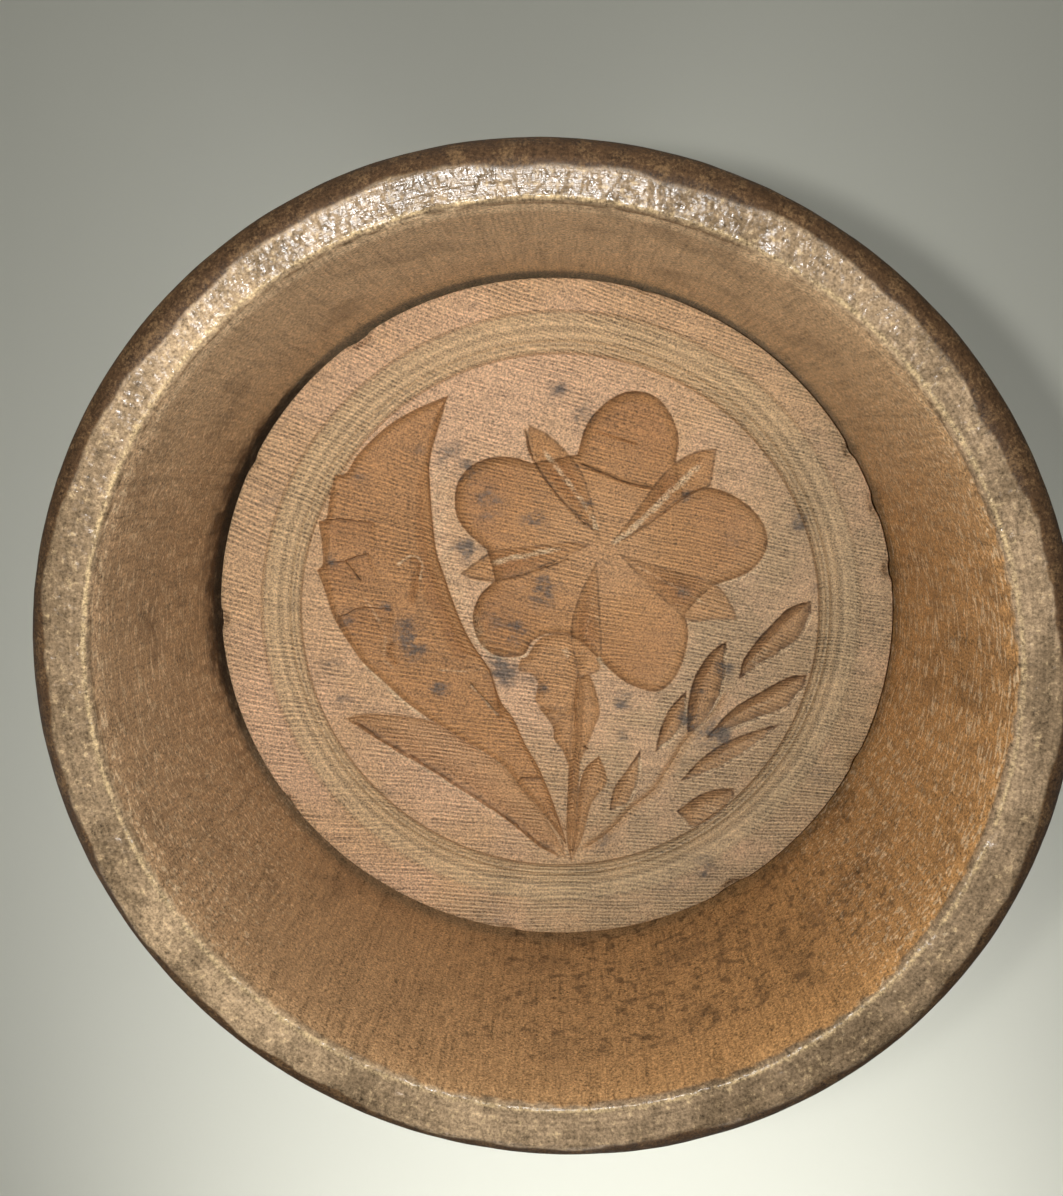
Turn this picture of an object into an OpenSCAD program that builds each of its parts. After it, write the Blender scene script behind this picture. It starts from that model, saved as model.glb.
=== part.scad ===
// A cased butter mould, stood on its knob with the mouth upwards.
// A turned wooden case, a carved print that slides in it, and the handle that the print screws on to.
// The origin is the centre of the knob's flat end.

/* [Case] */
// Diameter of the bore that the print slides in
bore_d = 116; // [90:1:150]
// Depth of the butter, from the print's face to the mouth
butter_deep = 47; // [25:1:70]
// Thickness of the side wall
wall_t = 7; // [5:0.5:12]
// How far the lip stands out past the side wall
lip_out = 1.5; // [0.5:0.5:3]
// Height of the lip
lip_h = 11; // [8:1:16]
// Rounding of the lip's outer edges
lip_r = 3.2; // [1:0.2:4]
// Chamfer at the mouth's inner edge
mouth_chamfer = 0.8; // [0.4:0.2:2]
// Thickness of the closed end
end_t = 14; // [10:1:22]
// Rounding of the shoulder
shoulder_r = 18; // [8:1:20]
// Height of the neck round the rod
neck_h = 12; // [9:1:24]
// Thickness of the neck's wall
neck_t = 8; // [6:0.5:14]
// Depth of the lines turned into the case's side
line_deep = 0.8; // [0.4:0.2:2]

/* [Print] */
// Thickness of the print
print_t = 21; // [19:1:32]
// Gap between the print and the bore, on the radius
print_gap = 1; // [0.5:0.1:2]
// Width of the flat border
border_w = 6.5; // [4:0.5:9]
// Width of the groove turned inside the border
groove_w = 6.6; // [4:0.2:9]
// Depth of the groove
groove_deep = 1.8; // [1:0.2:3]
// Size of the carved motif, as a part of the size drawn here
motif_scale = 1; // [0.6:0.05:1]

/* [Handle] */
// Diameter of the rod
rod_d = 24; // [20:1:32]
// Gap between the rod and the neck's hole, on the radius
rod_gap = 0.08; // [0.02:0.01:0.1]
// How far the print comes out past the mouth
push_out = 3; // [0:1:8]
// Space left between the neck and the knob when the print is right out
knob_gap = 3; // [2:1:10]
// Diameter of the knob
knob_d = 52; // [44:1:64]
// Height of the knob, with its waist and bead
knob_h = 40; // [36:1:56]
// Diameter over the thread
thread_d = 20; // [16:1:20]
// Length of the threaded end
thread_l = 14; // [8:1:14]
// Pitch of the thread
thread_pitch = 4; // [3:0.5:5]
// Depth of the thread
thread_deep = 1.4; // [0.8:0.2:1.8]
// Gap in the thread, on the radius and at the end
thread_gap = 0.3; // [0.2:0.1:0.6]

/* [Hidden] */
$fn = 96;
eps = 0.01;

bore_r = bore_d / 2;
wall_r = bore_r + wall_t;
lip_outer_r = wall_r + lip_out;
print_r = bore_r - print_gap;
rod_r = rod_d / 2;
rod_hole_r = rod_r + rod_gap;
neck_r = rod_hole_r + neck_t;
knob_r = knob_d / 2;

// How far the case slides down over the rod
stroke = butter_deep + push_out;
// Heights, from the knob's flat end up to the mouth
neck_z = knob_h + stroke + knob_gap;
end_z = neck_z + neck_h;
seat_z = end_z + end_t;
face_z = seat_z + print_t;
mouth_z = face_z + butter_deep;
lip_z = mouth_z - lip_h;

// Neck
neck_bead_r = 3;
neck_cove_r = 5;

// Print
print_back_chamfer = 1.5;
groove_out_r = print_r - border_w;
groove_mid_r = groove_out_r - groove_w / 2;
groove_arc_r = (pow(groove_w / 2, 2) + pow(groove_deep, 2)) / (2 * groove_deep);
fillet_line = 0.35;

// Knob
foot_r = 6;
dome_r = 20;
dome_x = knob_r - dome_r;
waist_r = rod_r - 1.2;
bead_r = 4.5;
bead_z = knob_h - bead_r - 1;
rod_shoulder = 0.6;

// Thread
thread_root_r = thread_d / 2 - thread_deep;
thread_rings = floor((thread_l - 1) / thread_pitch);
thread_lead_in = 1;

// Lines on the case's side, as heights above the closed end's inner face
line_pairs = [0.18, 0.5];
line_apart = 3.5;
side_h = lip_z - seat_z;

// The motif, as one row for each cut: x and y of its two ends, width and depth.
// A cut's ends lie on the print's face, seen from the mouth. Half its width is more than its depth.
petals = [
  [9, 20, 14, 39, 17, 2.2],
  [1, 16, -17, 24.5, 15, 2.2],
  [17, 13, 36, 14.5, 16, 2.2],
  [11, 5.5, 18, -12, 14, 2.2],
  [1.5, 7, -12, -6.5, 13, 2.2]
];
sepals = [
  [7.5, 14, -4, 33, 5.5, 1.5],
  [9, 14, 27, 29, 5.5, 1.5],
  [6.5, 12, -15.5, 8, 5, 1.5],
  [10, 11, 31, 0.5, 4.5, 1.3],
  [7.5, 10, 4.5, -10, 4.5, 1.3]
];
leaves = [
  [-18, 38, -31, -9, 19, 2.2],
  [-28, 6, 3, -41, 12, 2],
  [-36, -16.5, 3, -42.5, 7, 1.8],
  [4.5, -10, 3.5, -42.5, 3.4, 1.2],
  [-3, -14, 3, -30, 4, 1.2],
  [8, -15, 5, -40, 4.5, 1.2]
];
sprig = [
  [4, -41.5, 30.5, -11, 2, 0.8],
  [43, 4, 32, -9.5, 6, 1.5],
  [29.5, -3, 23.5, -18.5, 5.5, 1.5],
  [43, -9, 28, -19.5, 5, 1.4],
  [23, -11.5, 18, -22, 3.5, 1.1],
  [38.5, -17.5, 22, -27, 3.5, 1],
  [15.5, -22, 12.5, -31, 3.5, 1],
  [31.5, -29, 22, -34.5, 5, 1.1]
];

// A cutter between two points of the print's face: a turned body that lies above
// the face and dips into it, so that the cut is widest and deepest in the middle.
module scoop(cut) {
  half_l = norm([cut[2] - cut[0], cut[3] - cut[1]]) / 2;
  half_w = cut[4] / 2;
  deep = cut[5];
  lift = (half_w * half_w - deep * deep) / (2 * deep);
  middle_r = lift + deep;
  arc_r = (half_l * half_l + deep * deep) / (2 * deep);
  translate([(cut[0] + cut[2]) / 2, (cut[1] + cut[3]) / 2, lift])
    rotate([0, 0, atan2(cut[3] - cut[1], cut[2] - cut[0])])
      rotate([0, 90, 0])
        rotate_extrude()
          intersection() {
            translate([middle_r - arc_r, 0])
              circle(arc_r, $fn = 360);
            translate([0, -half_l - deep])
              square([middle_r + eps, 2 * (half_l + deep)]);
          }
}

// The whole motif as cutters, with the print's face at height zero
module motif() {
  for (cut = concat(petals, sepals, leaves, sprig))
    scoop(cut * motif_scale);
}

// Half of a shallow V, for a line turned into a side of radius r at height z
module side_line(r, z) {
  translate([r, z])
    rotate(45)
      square(line_deep * sqrt(2), center = true);
}

// Rings at the thread's pitch, from a root radius, grown by a gap
module thread_profile(gap) {
  root_r = thread_root_r + gap;
  crest_r = thread_d / 2 + gap;
  slope = thread_deep;
  land = thread_pitch / 2 - slope / 2;
  square([root_r, thread_l + gap]);
  for (ring = [0 : thread_rings - 1])
    translate([0, thread_lead_in + ring * thread_pitch])
      polygon([
        [root_r - eps, -gap],
        [crest_r, slope / 2 - gap],
        [crest_r, slope / 2 + land + gap],
        [root_r - eps, slope + land + gap]
      ]);
}

// Outer shape of the case, in half section
module case_outside() {
  // Side, with a rounded shoulder down to the closed end
  translate([0, end_z])
    square([wall_r - shoulder_r, shoulder_r]);
  translate([0, end_z + shoulder_r])
    square([wall_r, mouth_z - end_z - shoulder_r - lip_r]);
  intersection() {
    translate([wall_r - shoulder_r, end_z + shoulder_r])
      circle(shoulder_r);
    translate([0, end_z])
      square([wall_r, shoulder_r]);
  }
  // Lip, rounded above and below
  translate([0, lip_z])
    square([lip_outer_r - lip_r, lip_h]);
  translate([0, lip_z + lip_r])
    square([lip_outer_r, lip_h - 2 * lip_r]);
  for (z = [lip_z + lip_r, mouth_z - lip_r])
    translate([lip_outer_r - lip_r, z])
      circle(lip_r);
  // Neck, with a bead at its end and a cove under the closed end
  translate([0, neck_z])
    square([neck_r, neck_h + eps]);
  translate([neck_r, neck_z + neck_bead_r])
    circle(neck_bead_r);
  difference() {
    translate([0, end_z - neck_cove_r])
      square([neck_r + neck_cove_r, neck_cove_r + eps]);
    translate([neck_r + neck_cove_r, end_z - neck_cove_r])
      circle(neck_cove_r);
  }
}

module case() {
  color("#9a7848")
    rotate_extrude()
      difference() {
        case_outside();
        // Bore, with a chamfered mouth
        translate([-eps, seat_z])
          square([bore_r + eps, mouth_z - seat_z + eps]);
        polygon([
          [bore_r - eps, mouth_z - mouth_chamfer],
          [bore_r + mouth_chamfer, mouth_z + eps],
          [bore_r - eps, mouth_z + eps]
        ]);
        // Hole for the rod
        translate([-eps, neck_z - eps])
          square([rod_hole_r + eps, seat_z - neck_z + 2 * eps]);
        // Turned lines, in pairs
        for (pair = line_pairs)
          for (side = [-0.5, 0.5])
            side_line(wall_r, seat_z + pair * side_h + side * line_apart);
      }
}

module print() {
  color("#b28c69")
    difference() {
      rotate_extrude()
        difference() {
          translate([0, seat_z])
            square([print_r, print_t]);
          // Chamfer round the back
          polygon([
            [print_r - print_back_chamfer, seat_z - eps],
            [print_r + eps, seat_z - eps],
            [print_r + eps, seat_z + print_back_chamfer]
          ]);
          // Turned groove inside the border, with a fine step on each side of it
          translate([groove_mid_r, face_z + groove_arc_r - groove_deep])
            circle(groove_arc_r);
          translate([groove_mid_r - groove_w / 2, face_z - fillet_line])
            square([groove_w, fillet_line + eps]);
          // Threaded hole in the back
          translate([0, seat_z])
            thread_profile(thread_gap);
          translate([-eps, seat_z - eps])
            square([thread_root_r + thread_gap + eps, thread_gap]);
        }
      translate([0, 0, face_z])
        motif();
    }
}

module handle() {
  color("#8a6238")
    rotate_extrude() {
      // Foot of the knob, with a rounded edge round its flat end
      square([knob_r - foot_r, foot_r]);
      intersection() {
        translate([knob_r - foot_r, foot_r])
          circle(foot_r);
        square([knob_r, foot_r]);
      }
      // Dome of the knob
      intersection() {
        translate([dome_x, foot_r])
          circle(dome_r);
        translate([0, foot_r])
          square([knob_r, dome_r]);
      }
      // Waist and bead
      translate([0, foot_r])
        square([waist_r, knob_h - foot_r]);
      translate([waist_r, bead_z])
        circle(bead_r);
      // Rod, up to its seat on the print's back
      translate([0, knob_h - 1])
        square([rod_r, seat_z - knob_h + 1 - rod_shoulder]);
      translate([0, seat_z - rod_shoulder - eps])
        square([rod_r - rod_shoulder, rod_shoulder + eps]);
      // Threaded end
      translate([0, seat_z])
        thread_profile(0);
    }
}

case();
print();
handle();
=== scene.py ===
import math
from collections import namedtuple

import bmesh
import bpy
import numpy as np
from bpy.props import FloatProperty, FloatVectorProperty, IntProperty, PointerProperty
from mathutils import Matrix, Vector
from mathutils.geometry import delaunay_2d_cdt
from mathutils.kdtree import KDTree


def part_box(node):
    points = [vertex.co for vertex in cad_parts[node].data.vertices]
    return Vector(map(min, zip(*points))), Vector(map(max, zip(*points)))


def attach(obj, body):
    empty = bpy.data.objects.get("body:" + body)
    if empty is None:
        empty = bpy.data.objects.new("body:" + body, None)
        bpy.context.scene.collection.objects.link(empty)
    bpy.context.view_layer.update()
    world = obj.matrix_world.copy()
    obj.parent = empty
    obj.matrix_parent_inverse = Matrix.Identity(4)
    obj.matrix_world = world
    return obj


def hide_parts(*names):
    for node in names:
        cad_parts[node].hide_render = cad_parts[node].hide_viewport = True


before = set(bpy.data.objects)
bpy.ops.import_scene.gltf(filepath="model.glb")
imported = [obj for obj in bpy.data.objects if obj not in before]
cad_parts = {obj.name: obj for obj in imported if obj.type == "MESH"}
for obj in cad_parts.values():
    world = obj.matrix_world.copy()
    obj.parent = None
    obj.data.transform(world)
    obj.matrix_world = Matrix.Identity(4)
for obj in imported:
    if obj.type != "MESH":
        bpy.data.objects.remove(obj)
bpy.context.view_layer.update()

# A cased butter mould: a turned case, a carved print that slides in it, and a turned handle.
# It stands on its knob, mouth up. Lengths are metres, and outlines are drawn in millimetres.

MM = 0.001
TURN = 2 * math.pi

bl_info = {
    "name": "Cased butter mould",
    "version": (1, 0, 0),
    "blender": (4, 5, 0),
    "location": "View3D > Sidebar > Butter mould",
    "description": "Makes a turned wooden butter mould with its carved print and its handle",
    "category": "Add Mesh",
}

# Sizes that the frame gives

CASE_LOW, CASE_HIGH = (Vector(corner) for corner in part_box("case"))
PRINT_LOW, PRINT_HIGH = (Vector(corner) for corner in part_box("print"))
HANDLE_LOW, HANDLE_HIGH = (Vector(corner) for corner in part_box("handle"))
MOUTH_Z = CASE_HIGH.z
NECK_Z = CASE_LOW.z
SEAT_Z = PRINT_LOW.z
FACE_Z = PRINT_HIGH.z
LIP_R = CASE_HIGH.x
PRINT_R = PRINT_HIGH.x
KNOB_R = HANDLE_HIGH.x
THREAD_Z = HANDLE_HIGH.z


def linear(hex_colour):
    """The linear RGBA of an sRGB colour written as hex."""
    values = [int(hex_colour[i:i + 2], 16) / 255 for i in (1, 3, 5)]
    return [v / 12.92 if v <= 0.04045 else ((v + 0.055) / 1.055) ** 2.4 for v in values] + [1.0]


def colour(name, description, hex_colour):
    """A colour property with its default given as sRGB hex."""
    return FloatVectorProperty(name=name, description=description, subtype="COLOR", size=4,
                               min=0, max=1, default=linear(hex_colour))


def length(name, description, default_mm):
    """A length property with its default given in millimetres."""
    return FloatProperty(name=name, description=description, default=default_mm * MM,
                         min=0, unit="LENGTH", subtype="DISTANCE")


class MouldSizes(bpy.types.PropertyGroup):
    """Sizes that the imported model's boxes don't give"""
    bore_r: length("Bore", "Radius of the bore that the print slides in", 58)
    wall: length("Wall", "Thickness of the case's side", 7)
    lip_h: length("Lip height", "Height of the lip", 11)
    lip_round: length("Lip rounding", "Rounding of the lip's outer edges", 3.2)
    mouth_round: length("Mouth rounding", "Wear on the mouth's inner edge", 0.9)
    end_t: length("Closed end", "Thickness of the case's closed end", 14)
    shoulder_r: length("Shoulder", "Rounding between the side and the closed end", 18)
    neck_wall: length("Neck wall", "Thickness of the neck's wall", 8)
    rod_r: length("Rod", "Radius of the rod", 12)
    rod_gap: length("Rod gap", "Gap between the rod and its hole", 0.08)
    knob_h: length("Knob height", "Height of the knob with its waist and bead", 40)
    thread_r: length("Thread", "Radius over the thread", 10)
    border_w: length("Border", "Width of the print's flat border", 6.5)
    groove_w: length("Groove", "Width of the groove inside the border", 6.8)
    groove_deep: length("Groove depth", "Depth of the groove", 1.1)
    out_of_round: FloatProperty(name="Out of round", default=0.014, min=0, max=0.03,
                                description="How oval the mouth has become, as a part of its radius")
    segments: IntProperty(name="Segments", description="Faces round a turned piece",
                          default=440, min=32, max=480)


class MouldColours(bpy.types.PropertyGroup):
    """Colours of the bare, worn and handled wood"""
    face: colour("Print face", "Scrubbed face of the print", "#bc9973")
    pink: colour("Pink face", "Pinker wood at the face's top and left", "#caa585")
    grey: colour("Grey face", "Greyed wood at the face's right and foot", "#9c8869")
    cut: colour("Carved floor", "Floors of the carving", "#ad8256")
    cut_deep: colour("Deep floor", "Deepest, darkest floors of the carving", "#966a41")
    # Dark brown for the pores, and for the painted shade, with some old dirt, along the cuts
    pore_and_cut_shade: colour("Cut edge", "Old dirt along the cuts", "#523a26")
    groove: colour("Groove", "Olive dirt in the turned groove", "#b79c76")
    # Pale wood for the scraped places, and for the painted highlights on the lit edges of the cuts
    bare_and_lit: colour("Scraped wood", "Bare wood where a cut is scraped", "#c9b08c")
    stain: colour("Stain", "Blue-grey mould stain", "#544e48")
    bore: colour("Bore", "Brown wall of the bore", "#ad9170")
    bore_warm: colour("Warm bore", "Butter-stained side of the bore", "#b48957")
    # Dark brown for smudges, ring lines and spots, and for the darkening next to the print
    bore_dark: colour("Dark bore", "Grime where the print rubs", "#4c3929")
    # Pale wood for the rays, and for the painted light on the bore's top side
    fleck: colour("Fleck", "Pale rays in the bore's wood", "#d9c29e")
    lip: colour("Lip", "Worn lip", "#9f876a")
    lip_grey: colour("Grey lip", "Grey weathering on the lip", "#695741")
    lip_pale: colour("Pale lip", "Paler wood on the lip's top and left", "#c7aa84")
    # Pale wood for flecks on the lip, and for its worn inner edge, with a painted highlight along it
    lip_wear_and_highlight: colour("Lip edge", "Yellowed wood on the worn inner edge", "#c2a87e")
    patina: colour("Patina", "Dark, handled outside", "#4d3824")
    patina_worn: colour("Worn patina", "Outside where it is rubbed", "#6a5237")


# Outlines and profiles

def arc(centre_r, centre_z, radius, start, end, steps):
    """Points of an arc in a half section, from one angle to another, in degrees."""
    angles = np.radians(np.linspace(start, end, steps + 1))
    return [(centre_r + radius * math.cos(a), centre_z + radius * math.sin(a)) for a in angles]


def straight(start, end, step):
    """Evenly spaced points from start to end, both included."""
    count = max(1, math.ceil(math.dist(start, end) / step))
    return [tuple(p) for p in np.linspace(start, end, count + 1)]


def smooth_curve(points, spacing):
    """A curve through the points (Catmull-Rom), as points about one spacing apart."""
    p = np.array(points, float)
    p = np.vstack([2 * p[0] - p[1], p, 2 * p[-1] - p[-2]])
    made = []
    for a, b, c, d in zip(p, p[1:], p[2:], p[3:]):
        steps = max(1, math.ceil(np.linalg.norm(c - b) / spacing))
        t = np.arange(steps)[:, None] / steps
        made.append(0.5 * (2 * b + (c - a) * t + (2 * a - 5 * b + 4 * c - d) * t ** 2
                           + (3 * b - a - 3 * c + d) * t ** 3))
    made.append(p[-2:-1])
    return np.vstack(made)


def ease(value, low, high):
    """Smooth step from 0 at low to 1 at high."""
    t = np.clip((value - low) / (high - low), 0, 1)
    return t * t * (3 - 2 * t)


# Node helper and object helpers

def add(tree, kind, inputs=None, **settings):
    """Add a node with its settings. An input given as a socket is linked, any other is set."""
    made = tree.nodes.new(kind)
    for name, value in settings.items():
        setattr(made, name, value)
    for name, value in (inputs or {}).items():
        if isinstance(value, bpy.types.NodeSocket):
            tree.links.new(value, made.inputs[name])
        else:
            made.inputs[name].default_value = value
    return made


def new_object(name, mesh):
    """An object for a mesh, at the origin."""
    made = bpy.data.objects.new(name, mesh)
    bpy.context.scene.collection.objects.link(made)
    return made


def close_and_smooth(mesh, sharp_angle):
    """Point the faces outwards, shade smooth and keep true edges crisp."""
    work = bmesh.new()
    work.from_mesh(mesh)
    bmesh.ops.remove_doubles(work, verts=work.verts, dist=1e-6)
    bmesh.ops.recalc_face_normals(work, faces=work.faces)
    work.to_mesh(mesh)
    work.free()
    mesh.shade_smooth()
    mesh.set_sharp_from_angle(angle=math.radians(sharp_angle))


def store(mesh, name, values):
    """Store one number for each vertex."""
    mesh.attributes.new(name, "FLOAT", "POINT").data.foreach_set("value", np.asarray(values, np.float32))


def vertices(mesh):
    """The mesh's vertices as an array, in millimetres."""
    flat = np.empty(len(mesh.vertices) * 3, np.float32)
    mesh.vertices.foreach_get("co", flat)
    return flat.reshape(-1, 3).astype(float) / MM


def set_vertices(mesh, points_mm):
    """Move the mesh's vertices to the points, given in millimetres."""
    mesh.vertices.foreach_set("co", (points_mm * MM).astype(np.float32).ravel())
    mesh.update()


# The lathe

def lathe_tree():
    """Geometry nodes that turn a half section round the axis, a little oval and worn."""
    tree = bpy.data.node_groups.new("lathe", "GeometryNodeTree")
    ports = tree.interface
    ports.new_socket("Section", in_out="INPUT", socket_type="NodeSocketGeometry")
    ports.new_socket("Segments", in_out="INPUT", socket_type="NodeSocketInt")
    ports.new_socket("Out of round", in_out="INPUT", socket_type="NodeSocketFloat")
    ports.new_socket("Oval angle", in_out="INPUT", socket_type="NodeSocketFloat")
    ports.new_socket("Wear", in_out="INPUT", socket_type="NodeSocketFloat")
    ports.new_socket("Wear size", in_out="INPUT", socket_type="NodeSocketFloat")
    ports.new_socket("Seed", in_out="INPUT", socket_type="NodeSocketFloat")
    ports.new_socket("Wood", in_out="INPUT", socket_type="NodeSocketMaterial")
    ports.new_socket("Turned", in_out="OUTPUT", socket_type="NodeSocketGeometry")
    given = add(tree, "NodeGroupInput").outputs

    # A grid with a row of points for each turn of the lathe, addressed by its index
    count = add(tree, "GeometryNodeAttributeDomainSize", {0: given["Section"]},
                component="MESH").outputs["Point Count"]
    rows = add(tree, "ShaderNodeMath", {0: given["Segments"], 1: 1.0}, operation="ADD").outputs[0]
    grid = add(tree, "GeometryNodeMeshGrid", {"Vertices X": rows, "Vertices Y": count}).outputs["Mesh"]
    index = add(tree, "GeometryNodeInputIndex").outputs[0]
    ratio = add(tree, "ShaderNodeMath", {0: index, 1: count}, operation="DIVIDE").outputs[0]
    row = add(tree, "ShaderNodeMath", {0: ratio}, operation="FLOOR").outputs[0]
    place = add(tree, "ShaderNodeMath", {0: index, 1: count}, operation="MODULO").outputs[0]
    share = add(tree, "ShaderNodeMath", {0: row, 1: given["Segments"]}, operation="DIVIDE").outputs[0]
    angle = add(tree, "ShaderNodeMath", {0: share, 1: TURN}, operation="MULTIPLY").outputs[0]

    # The half section's point for this place, and what is stored on it
    position = add(tree, "GeometryNodeInputPosition").outputs[0]
    point = add(tree, "GeometryNodeSampleIndex", {"Geometry": given["Section"], "Value": position,
                                                  "Index": place}, data_type="FLOAT_VECTOR").outputs[0]
    xyz = add(tree, "ShaderNodeSeparateXYZ", {0: point}).outputs
    sampled = {}
    for name in ("oval", "wear"):
        stored = add(tree, "GeometryNodeInputNamedAttribute", {"Name": name}, data_type="FLOAT").outputs[0]
        sampled[name] = add(tree, "GeometryNodeSampleIndex",
                            {"Geometry": given["Section"], "Value": stored, "Index": place},
                            data_type="FLOAT").outputs[0]

    # Radius, oval where the section says so
    turned = add(tree, "ShaderNodeMath", {0: angle, 1: given["Oval angle"]}, operation="SUBTRACT").outputs[0]
    doubled = add(tree, "ShaderNodeMath", {0: turned, 1: 2.0}, operation="MULTIPLY").outputs[0]
    swing = add(tree, "ShaderNodeMath", {0: doubled}, operation="COSINE").outputs[0]
    amount = add(tree, "ShaderNodeMath", {0: swing, 1: sampled["oval"]}, operation="MULTIPLY").outputs[0]
    grown = add(tree, "ShaderNodeMath", {0: amount, 1: given["Out of round"], 2: 1.0},
                operation="MULTIPLY_ADD").outputs[0]
    radius = add(tree, "ShaderNodeMath", {0: grown, 1: xyz["X"]}, operation="MULTIPLY").outputs[0]
    cosine = add(tree, "ShaderNodeMath", {0: angle}, operation="COSINE").outputs[0]
    sine = add(tree, "ShaderNodeMath", {0: angle}, operation="SINE").outputs[0]
    x = add(tree, "ShaderNodeMath", {0: radius, 1: cosine}, operation="MULTIPLY").outputs[0]
    y = add(tree, "ShaderNodeMath", {0: radius, 1: sine}, operation="MULTIPLY").outputs[0]
    place_3d = add(tree, "ShaderNodeCombineXYZ", {"X": x, "Y": y, "Z": xyz["Z"]}).outputs[0]

    # Wear, as a slow noise that moves the surface where the section says so
    scale = add(tree, "ShaderNodeMath", {0: 1.0, 1: given["Wear size"]}, operation="DIVIDE").outputs[0]
    noise = add(tree, "ShaderNodeTexNoise", {"Vector": place_3d, "W": given["Seed"], "Scale": scale,
                                             "Detail": 3.0}, noise_dimensions="4D").outputs["Color"]
    centred = add(tree, "ShaderNodeVectorMath", {0: noise, 1: (0.5, 0.5, 0.5)},
                  operation="SUBTRACT").outputs[0]
    depth = add(tree, "ShaderNodeMath", {0: sampled["wear"], 1: given["Wear"]},
                operation="MULTIPLY").outputs[0]
    moved = add(tree, "ShaderNodeVectorMath", {0: centred, "Scale": depth}, operation="SCALE").outputs[0]
    worn = add(tree, "ShaderNodeVectorMath", {0: place_3d, 1: moved}, operation="ADD").outputs[0]
    mesh = add(tree, "GeometryNodeSetPosition", {"Geometry": grid, "Position": worn}).outputs[0]
    mesh = add(tree, "GeometryNodeMergeByDistance", {"Geometry": mesh, "Distance": 1e-6}).outputs[0]
    mesh = add(tree, "GeometryNodeRealizeInstances", {"Geometry": mesh}).outputs[0]
    mesh = add(tree, "GeometryNodeSetMaterial", {"Geometry": mesh, "Material": given["Wood"]}).outputs[0]
    add(tree, "NodeGroupOutput", {0: mesh})
    return tree


# A stretch of a half section: its points in millimetres, and how much it is worn
Stretch = namedtuple("Stretch", "points wear", defaults=(0.0,))


def turn_on_lathe(name, stretches, segments, wood, out_of_round=0.0, oval_angle=0.0,
                  oval_of=None, wear=0.0, wear_size=6 * MM, seed=0.0):
    """Turn a half section into a plain mesh object. The stretches follow one another."""
    points, worn = [], []
    for stretch in stretches:
        for point in stretch.points:
            if points and math.dist(points[-1], point) < 1e-6:
                continue
            points.append(point)
            worn.append(stretch.wear)
    section = bpy.data.meshes.new(name + "_section")
    section.from_pydata([(r * MM, 0, z * MM) for r, z in points],
                        [(i, i + 1) for i in range(len(points) - 1)], [])
    heights = np.array([z for r, z in points])
    store(section, "oval", oval_of(heights) if oval_of else np.ones(len(points)))
    store(section, "wear", worn)
    work = new_object(name + "_section", section)
    lathe = work.modifiers.new("lathe", "NODES")
    tree = bpy.data.node_groups.get("lathe") or lathe_tree()
    lathe.node_group = tree
    wanted = {"Segments": segments, "Out of round": out_of_round, "Oval angle": oval_angle,
              "Wear": wear, "Wear size": wear_size, "Seed": seed, "Wood": wood}
    for item in tree.interface.items_tree:
        if item.in_out == "INPUT" and item.name in wanted:
            lathe[item.identifier] = wanted[item.name]
    graph = bpy.context.evaluated_depsgraph_get()
    mesh = bpy.data.meshes.new_from_object(work.evaluated_get(graph))
    work.modifiers.remove(lathe)
    bpy.data.objects.remove(work)
    bpy.data.meshes.remove(section)
    mesh.name = name
    close_and_smooth(mesh, 40)
    return new_object(name, mesh)


# The carved motif, in millimetres on the print's face as seen from the mouth

# A cut: edges that meet at corners, how deep, how far in the floor is reached, and how the walls
# run (1 is a straight V wall, 2 a gouge's scoop). Its depth is least, by the part given, at rise_from.
# An added cut goes down from the floor of the cut that it lies in. Painted shade, with some old dirt, lies along
# its edges.
Cut = namedtuple("Cut", "edges deep run power rise_from least added dirt", defaults=(2, None, 1, False, 0.6))
# A stop cut: the floor on the left of its line drops by deep and comes back over the width
Stop = namedtuple("Stop", "points width deep")
# A knife line or a V-tool's stroke. Painted shade, with some old dirt, darkens along its line.
Stroke = namedtuple("Stroke", "points half_width deep dirt", defaults=(0.9,))

FLOWER = (8.3, 12.8)
STEM_FOOT = (3.4, -42.4)
LEAF_FORK = (-20.2, -17.7)

# The floor of the flower, round the tips of its five petals
FLOWER_FLOOR = [
    [(4, 28), (5.6, 33), (8.5, 36.3), (11.5, 38), (14.2, 38.2), (17.2, 37), (19.5, 34), (20.6, 30.5),
     (20.2, 27)],
    [(20.2, 27), (21.6, 21.4)],
    [(21.6, 21.4), (25, 22.6), (28.8, 21.8), (32.3, 19.6), (34.6, 17), (35.6, 14), (34.8, 11),
     (32.6, 8.6), (29.5, 7.2), (27, 6.4)],
    [(27, 6.4), (22.2, 1.4)],
    [(22.2, 1.4), (22.8, -1.5), (22.5, -5), (21.2, -8.7), (19.3, -11.1), (17.3, -11.9), (14.4, -11.2),
     (11.7, -9.8), (8.3, -6.8)],
    [(8.3, -6.8), (3.4, -2.6), (-1, -2)],
    [(-1, -2), (-3.4, -3.4), (-4.8, -5.6), (-7.4, -6.1), (-10.1, -5.6), (-12.5, -3.4), (-13.5, 0.5),
     (-12.4, 4.2), (-9.7, 7)],
    [(-9.7, 7), (-11, 12.2)],
    [(-11, 12.2), (-14, 14.8), (-15.9, 17.5), (-16.3, 20.8), (-15.5, 24), (-13, 26.5), (-9.3, 27.6),
     (-6, 27.4), (-3.6, 26.6)],
    [(-3.6, 26.6), (4, 28)],
]
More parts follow.
